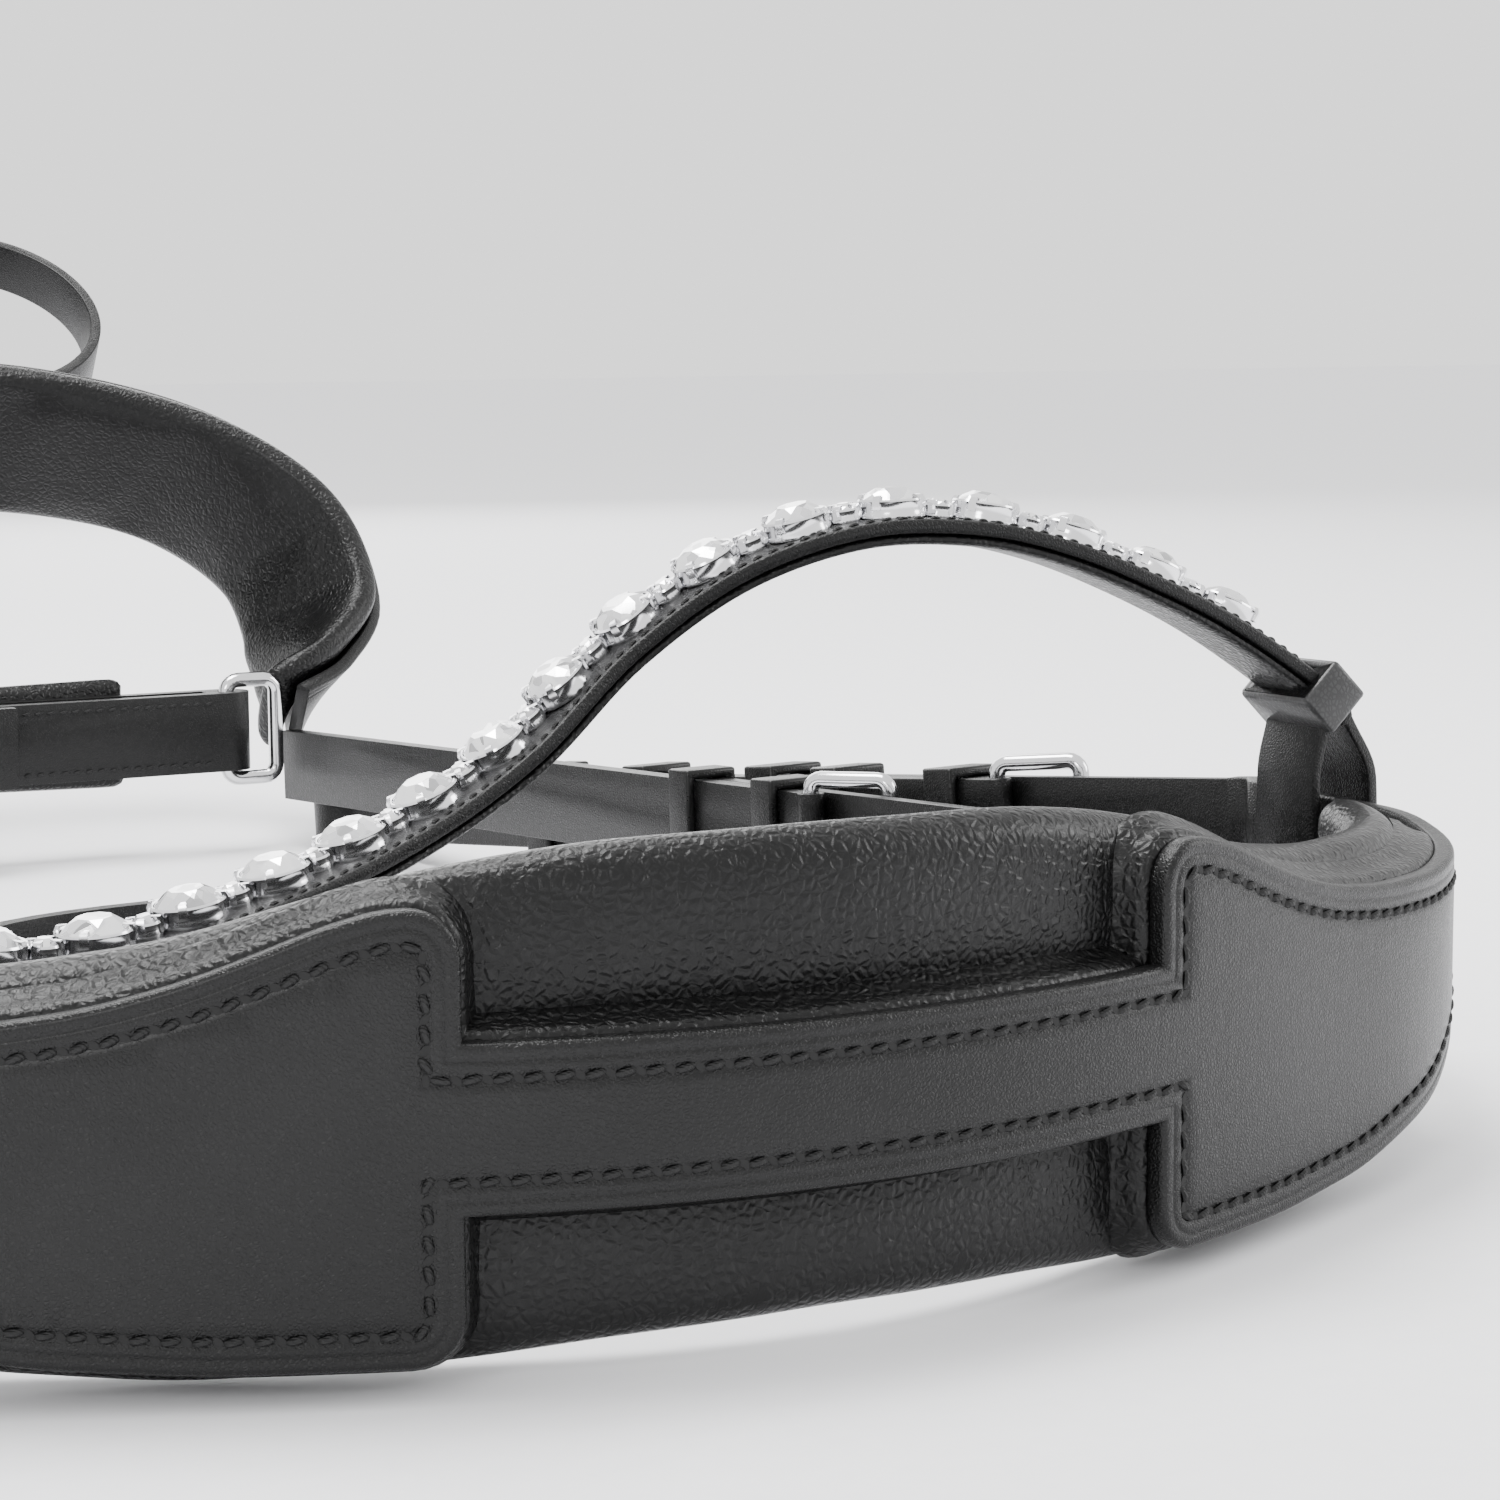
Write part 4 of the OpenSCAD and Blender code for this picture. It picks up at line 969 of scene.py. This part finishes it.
for i in range(len(nose_c)):
    tip = max(0.0, (share[i] - 0.96) / 0.04)
    half = nose_widths[i] / 2
    ring = roll_section(half - 0.6, NOSE_T * math.sqrt(max(0.1, 1 - tip ** 2)), 14, 7)
    crown = np.where(ring[:, 0] > 0, 0.9 * np.cos(np.clip(ring[:, 1] / half, -1, 1) * math.pi / 2) ** 0.6, 0)
    cushion.append(nose_c[i] + ring[:, 1:] * nose_w[i] + (0.5 + ring[:, :1] + crown[:, None]) * nose_n[i])
nose_cushion = piece("noseband_cushion", *skin(cushion), pad_leather, None, sharp=None)
upholster(nose_cushion, 0.0008, "nose_pad")

inside = slice(2, -2)
points, faces = band(nose_c[inside], nose_w[inside], nose_n[inside],
                     lambda half: strap_section(half * 0.8, -3.6, -6.8, 0.9, 1.6, 3.2), nose_widths[inside])
piece("noseband_leather", points, faces, strap_leather, "headpiece", ["nose_leather"], "bridle_leather", 60)
nose_run = length(nose_c)
nose_sewn = [band_line(nose_c, nose_w, nose_n, sign * (nose_widths * 0.4 - 3.2), -6.55, 8, nose_run - 8)
             for sign in (-1, 1)]
sew("noseband_stitches", nose_sewn, stitch, PITCH, "headpiece", STITCH_LEAN)

# %% Jaw pad
JAW_Y, JAW_Z = 408.5, 28.5
jaw_ring = roll_section(12.6, 4.6, 10, 6)
jaw_rings = []
for x in np.concatenate([np.linspace(-43.8, -41, 4), np.linspace(-38, 38, 27), np.linspace(41, 43.8, 4)]):
    end = math.sqrt(max(0.12, 1 - (max(0.0, abs(x) - 40) / 4) ** 2))
    jaw_rings.append([(x, JAW_Y + 7.9 + d * end, JAW_Z + z * (0.8 + 0.2 * end)) for d, z in jaw_ring])
jaw_cushion = piece("jaw_cushion", *skin(jaw_rings), pad_leather, None, sharp=None)
upholster(jaw_cushion, 0.0006, "jaw_pad", rounder=False)

# %% [markdown]
# ## Stitches on the straight straps
# Where a strap is doubled, round a buckle or at its end, two rows of stitches hold the layers together. The rows
# are given in the strap's own frame and carried into place.

# %% Rows on the straps
def strap_place(at, pitch, turn, way):
    """Carries points from a strap's frame into place: at its start, pitched, turned, and mirrored by way."""
    a, b = math.radians(pitch), math.radians(turn)
    tip = np.array([[math.cos(a), 0, math.sin(a)], [0, 1, 0], [-math.sin(a), 0, math.cos(a)]])
    swing = np.array([[math.cos(b), -math.sin(b), 0], [math.sin(b), math.cos(b), 0], [0, 0, 1]])
    whole, flip = swing @ tip, np.array([way, 1, 1])
    return lambda p: (np.asarray(p, float) @ whole.T + np.array(at)) * flip


CHEEK, HANGER, THROAT = ((142.9, 112.4, 38), 5.5, 98.6), ((121, 105.2, 31.6), 2.3, 96.5), ((112.4, 105.2, 11.6), 0, 112)


def strap_rows(frame_numbers, way, y, half, spans):
    put = strap_place(*frame_numbers, way)
    lines = []
    for a, b in spans:
        for z in (-half, half):
            ends = np.array([(a, y, z), (b, y, z)], float)
            p = put(ends)
            out = put(ends + [0, -1, 0]) - p
            lines.append((p, out))
    return lines


for side_name, way in SIDES:
    lean = FINE_LEAN * way
    rows = strap_rows(CHEEK, way, -1.48, 6.0, [(214, 284)]) + strap_rows(CHEEK, way, 1.78, 6.0, [(150, 166)])
    sew("cheek_stitches_" + side_name, rows, fine_stitch, FINE_PITCH, "cheek_" + side_name, lean)
    rows = strap_rows(HANGER, way, 1.78, 6.0, [(156, 292)])
    sew("hanger_stitches_" + side_name, rows, fine_stitch, FINE_PITCH, "headpiece", lean)
JAW_FACE = 403.18
jaw_rows = [(np.array([(-8.0, JAW_FACE, z), (60, JAW_FACE, z)]), np.array([(0, -1.0, 0), (0, -1.0, 0)]))
            for z in (21.6, 35.4)]
sew("jaw_stitches", jaw_rows, fine_stitch, FINE_PITCH, "headpiece", FINE_LEAN)

# %% [markdown]
# ## Where a strap bends
# The cheekpiece and the throatlatch swing just behind the browband, where the real leather simply bends. A short
# fold of leather covers that line, made as one fixed shape from the headpiece into the strap as they lie here and
# attached to no body. The noseband strap has the same fold, which rides on the headpiece, as it doesn't move.

# %% Folds
def fold(name, start, way, numbers, z, width, begin, other):
    """A short strap out of the headpiece, at the distances and offsets in start, into a straight one at begin."""
    distances, offsets = start
    inner = [on_head(np.array(d), o + 1.5, z) for d, o in zip(distances, offsets)]
    outer = [strap_place(*numbers, 1)([[x, 0.0, 0.0]])[0] for x in begin]
    line = np.array([list(p) for p in inner + outer])
    rows = np.hstack([line, np.tile([0.0, 0.0, 1.0], (len(line), 1))])
    c, w, n = frames_of(smooth_rows(rows, 5))
    points, faces = band(c, w, n, strap_section(width / 2 + 0.25, -1.75, 1.75, 0.5))
    o = piece(name, points * np.array([way, 1, 1]), faces, strap_leather, None if other else "headpiece",
              slot="bridle_leather", sharp=50)
    if other:
        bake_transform(o)


for side_name, way in SIDES:
    fold("cheek_fold_" + side_name, ((194, 199), (3, 3)), way, CHEEK, 6.4, 16, (1.5, 6), "cheek_" + side_name)
    fold("noseband_fold_" + side_name, ((182, 190), (-17.81, -18.76)), way, HANGER, 0, 16, (2, 8), None)
    fold("throat_fold_" + side_name, ((180, 189), (-23.2, -26.4)), way, THROAT, -20, 14, (3.5, 9), "throatlatch")

# %% [markdown]
# ## Buckles and rings
# A bridle buckle is a bent and welded steel wire: a bar that the strap and tongue turn on, and a frame with round
# corners. `wire_loop` carries a round section along such an outline.

# %% Wire loops
def wire_loop(name, corners, r, bend, put, body, stands_for, flat=1.0):
    """A closed wire through corners in the x-z plane of put's frame."""
    corners, path = [np.array(c, float) for c in corners], []
    for i, c in enumerate(corners):
        a, b = unit(corners[i - 1] - c), unit(corners[(i + 1) % len(corners)] - c)
        centre = c + (a + b) * bend
        for k in np.linspace(0, math.pi / 2, 6):
            path.append(centre - b * bend * math.cos(k) - a * bend * math.sin(k))
    path = np.array(path)
    t = unit(np.roll(path, -1, 0) - np.roll(path, 1, 0))
    side = np.stack([-t[:, 1], t[:, 0]], 1)
    rings = [[(p[0] + s[0] * r * math.cos(a), flat * r * math.sin(a), p[1] + s[1] * r * math.cos(a))
              for a in np.linspace(0, 2 * math.pi, 15)[:-1]] for p, s in zip(path, side)]
    points, faces = skin(rings, loop=True)
    return piece(name, put(points), faces, steel, body, stands_for, "steel", 60)


def tilted(put, x, y, angle):
    c, s = math.cos(angle), math.sin(angle)
    return lambda p: put(np.asarray(p, float) @ np.array([[c, s, 0], [-s, c, 0], [0, 0, 1]]) + [x, y, 0])


FRAME_TILT, FRAME_LEN = math.atan(7.6 / 14), math.hypot(14, 7.6)


def buckle(name, numbers, way, bar, width, body, stands_for):
    h = width / 2 + 2.6
    put = tilted(strap_place(*numbers, way), bar, 4.3, FRAME_TILT)
    return wire_loop(name, [(0, -h), (0, h), (-FRAME_LEN, h), (-FRAME_LEN, -h)], 1.5, 2.2, put, body, stands_for)


for side_name, way in SIDES:
    buckle("cheek_buckle_frame_" + side_name, CHEEK, way, 62, 16, "cheek_" + side_name, ["cheek_buckle_" + side_name])
    buckle("hanger_buckle_frame_" + side_name, HANGER, way, 96, 16, "headpiece", ["hanger_buckle_" + side_name])
    buckle("throat_buckle_frame_" + side_name, THROAT, way, 26, 14, "throatlatch", ["throat_buckles"])
    wire_loop("nose_ring_wire_" + side_name, [(6, -11.4), (6, 11.4), (-6, 11.4), (-6, -11.4)], 1.7, 3.0,
              lambda p, way=way: (np.asarray(p) + [72, JAW_Y, JAW_Z]) * [way, 1, 1], "headpiece",
              ["nose_ring_" + side_name])
jaw_put = tilted(lambda p: np.asarray(p) + [0, JAW_Y, JAW_Z], -22, -3.6, math.atan2(6.2, 20))
wire_loop("jaw_buckle_frame", [(0, -11.6), (0, 11.6), (-20.94, 11.6), (-20.94, -11.6)], 1.6, 2.6, jaw_put, "headpiece",
          ["jaw_buckle"])


FLASH_LIFT = 42.1


def flash_put(p):
    """From the flash strap's frame, which leans with the top of the nose, into place."""
    p = np.asarray(p, float)
    lift = p[:, 1] + FLASH_LIFT
    return np.stack([p[:, 0], 482 - 0.6 * p[:, 2] + 0.8 * lift, 95.5 + 0.8 * p[:, 2] + 0.6 * lift], 1)


wire_loop("flash_buckle_frame", [(26, -8.5), (38, -8.5), (38, 8.5), (26, 8.5)], 1.3, 2.2,
          lambda p: flash_put(np.asarray(p) + [0, 33.4, 0]), "flash", ["flash_buckle"])

# %% Tidying up and finish
for shape in patterns:
    bpy.data.objects.remove(shape)
for name, o in nodes.items():
    if not o.hide_render:
        print("still plain:", name)
        o.data.materials.clear()
        o.data.materials.append(steel if o.name.endswith(("tongue", "roller")) else strap_leather)
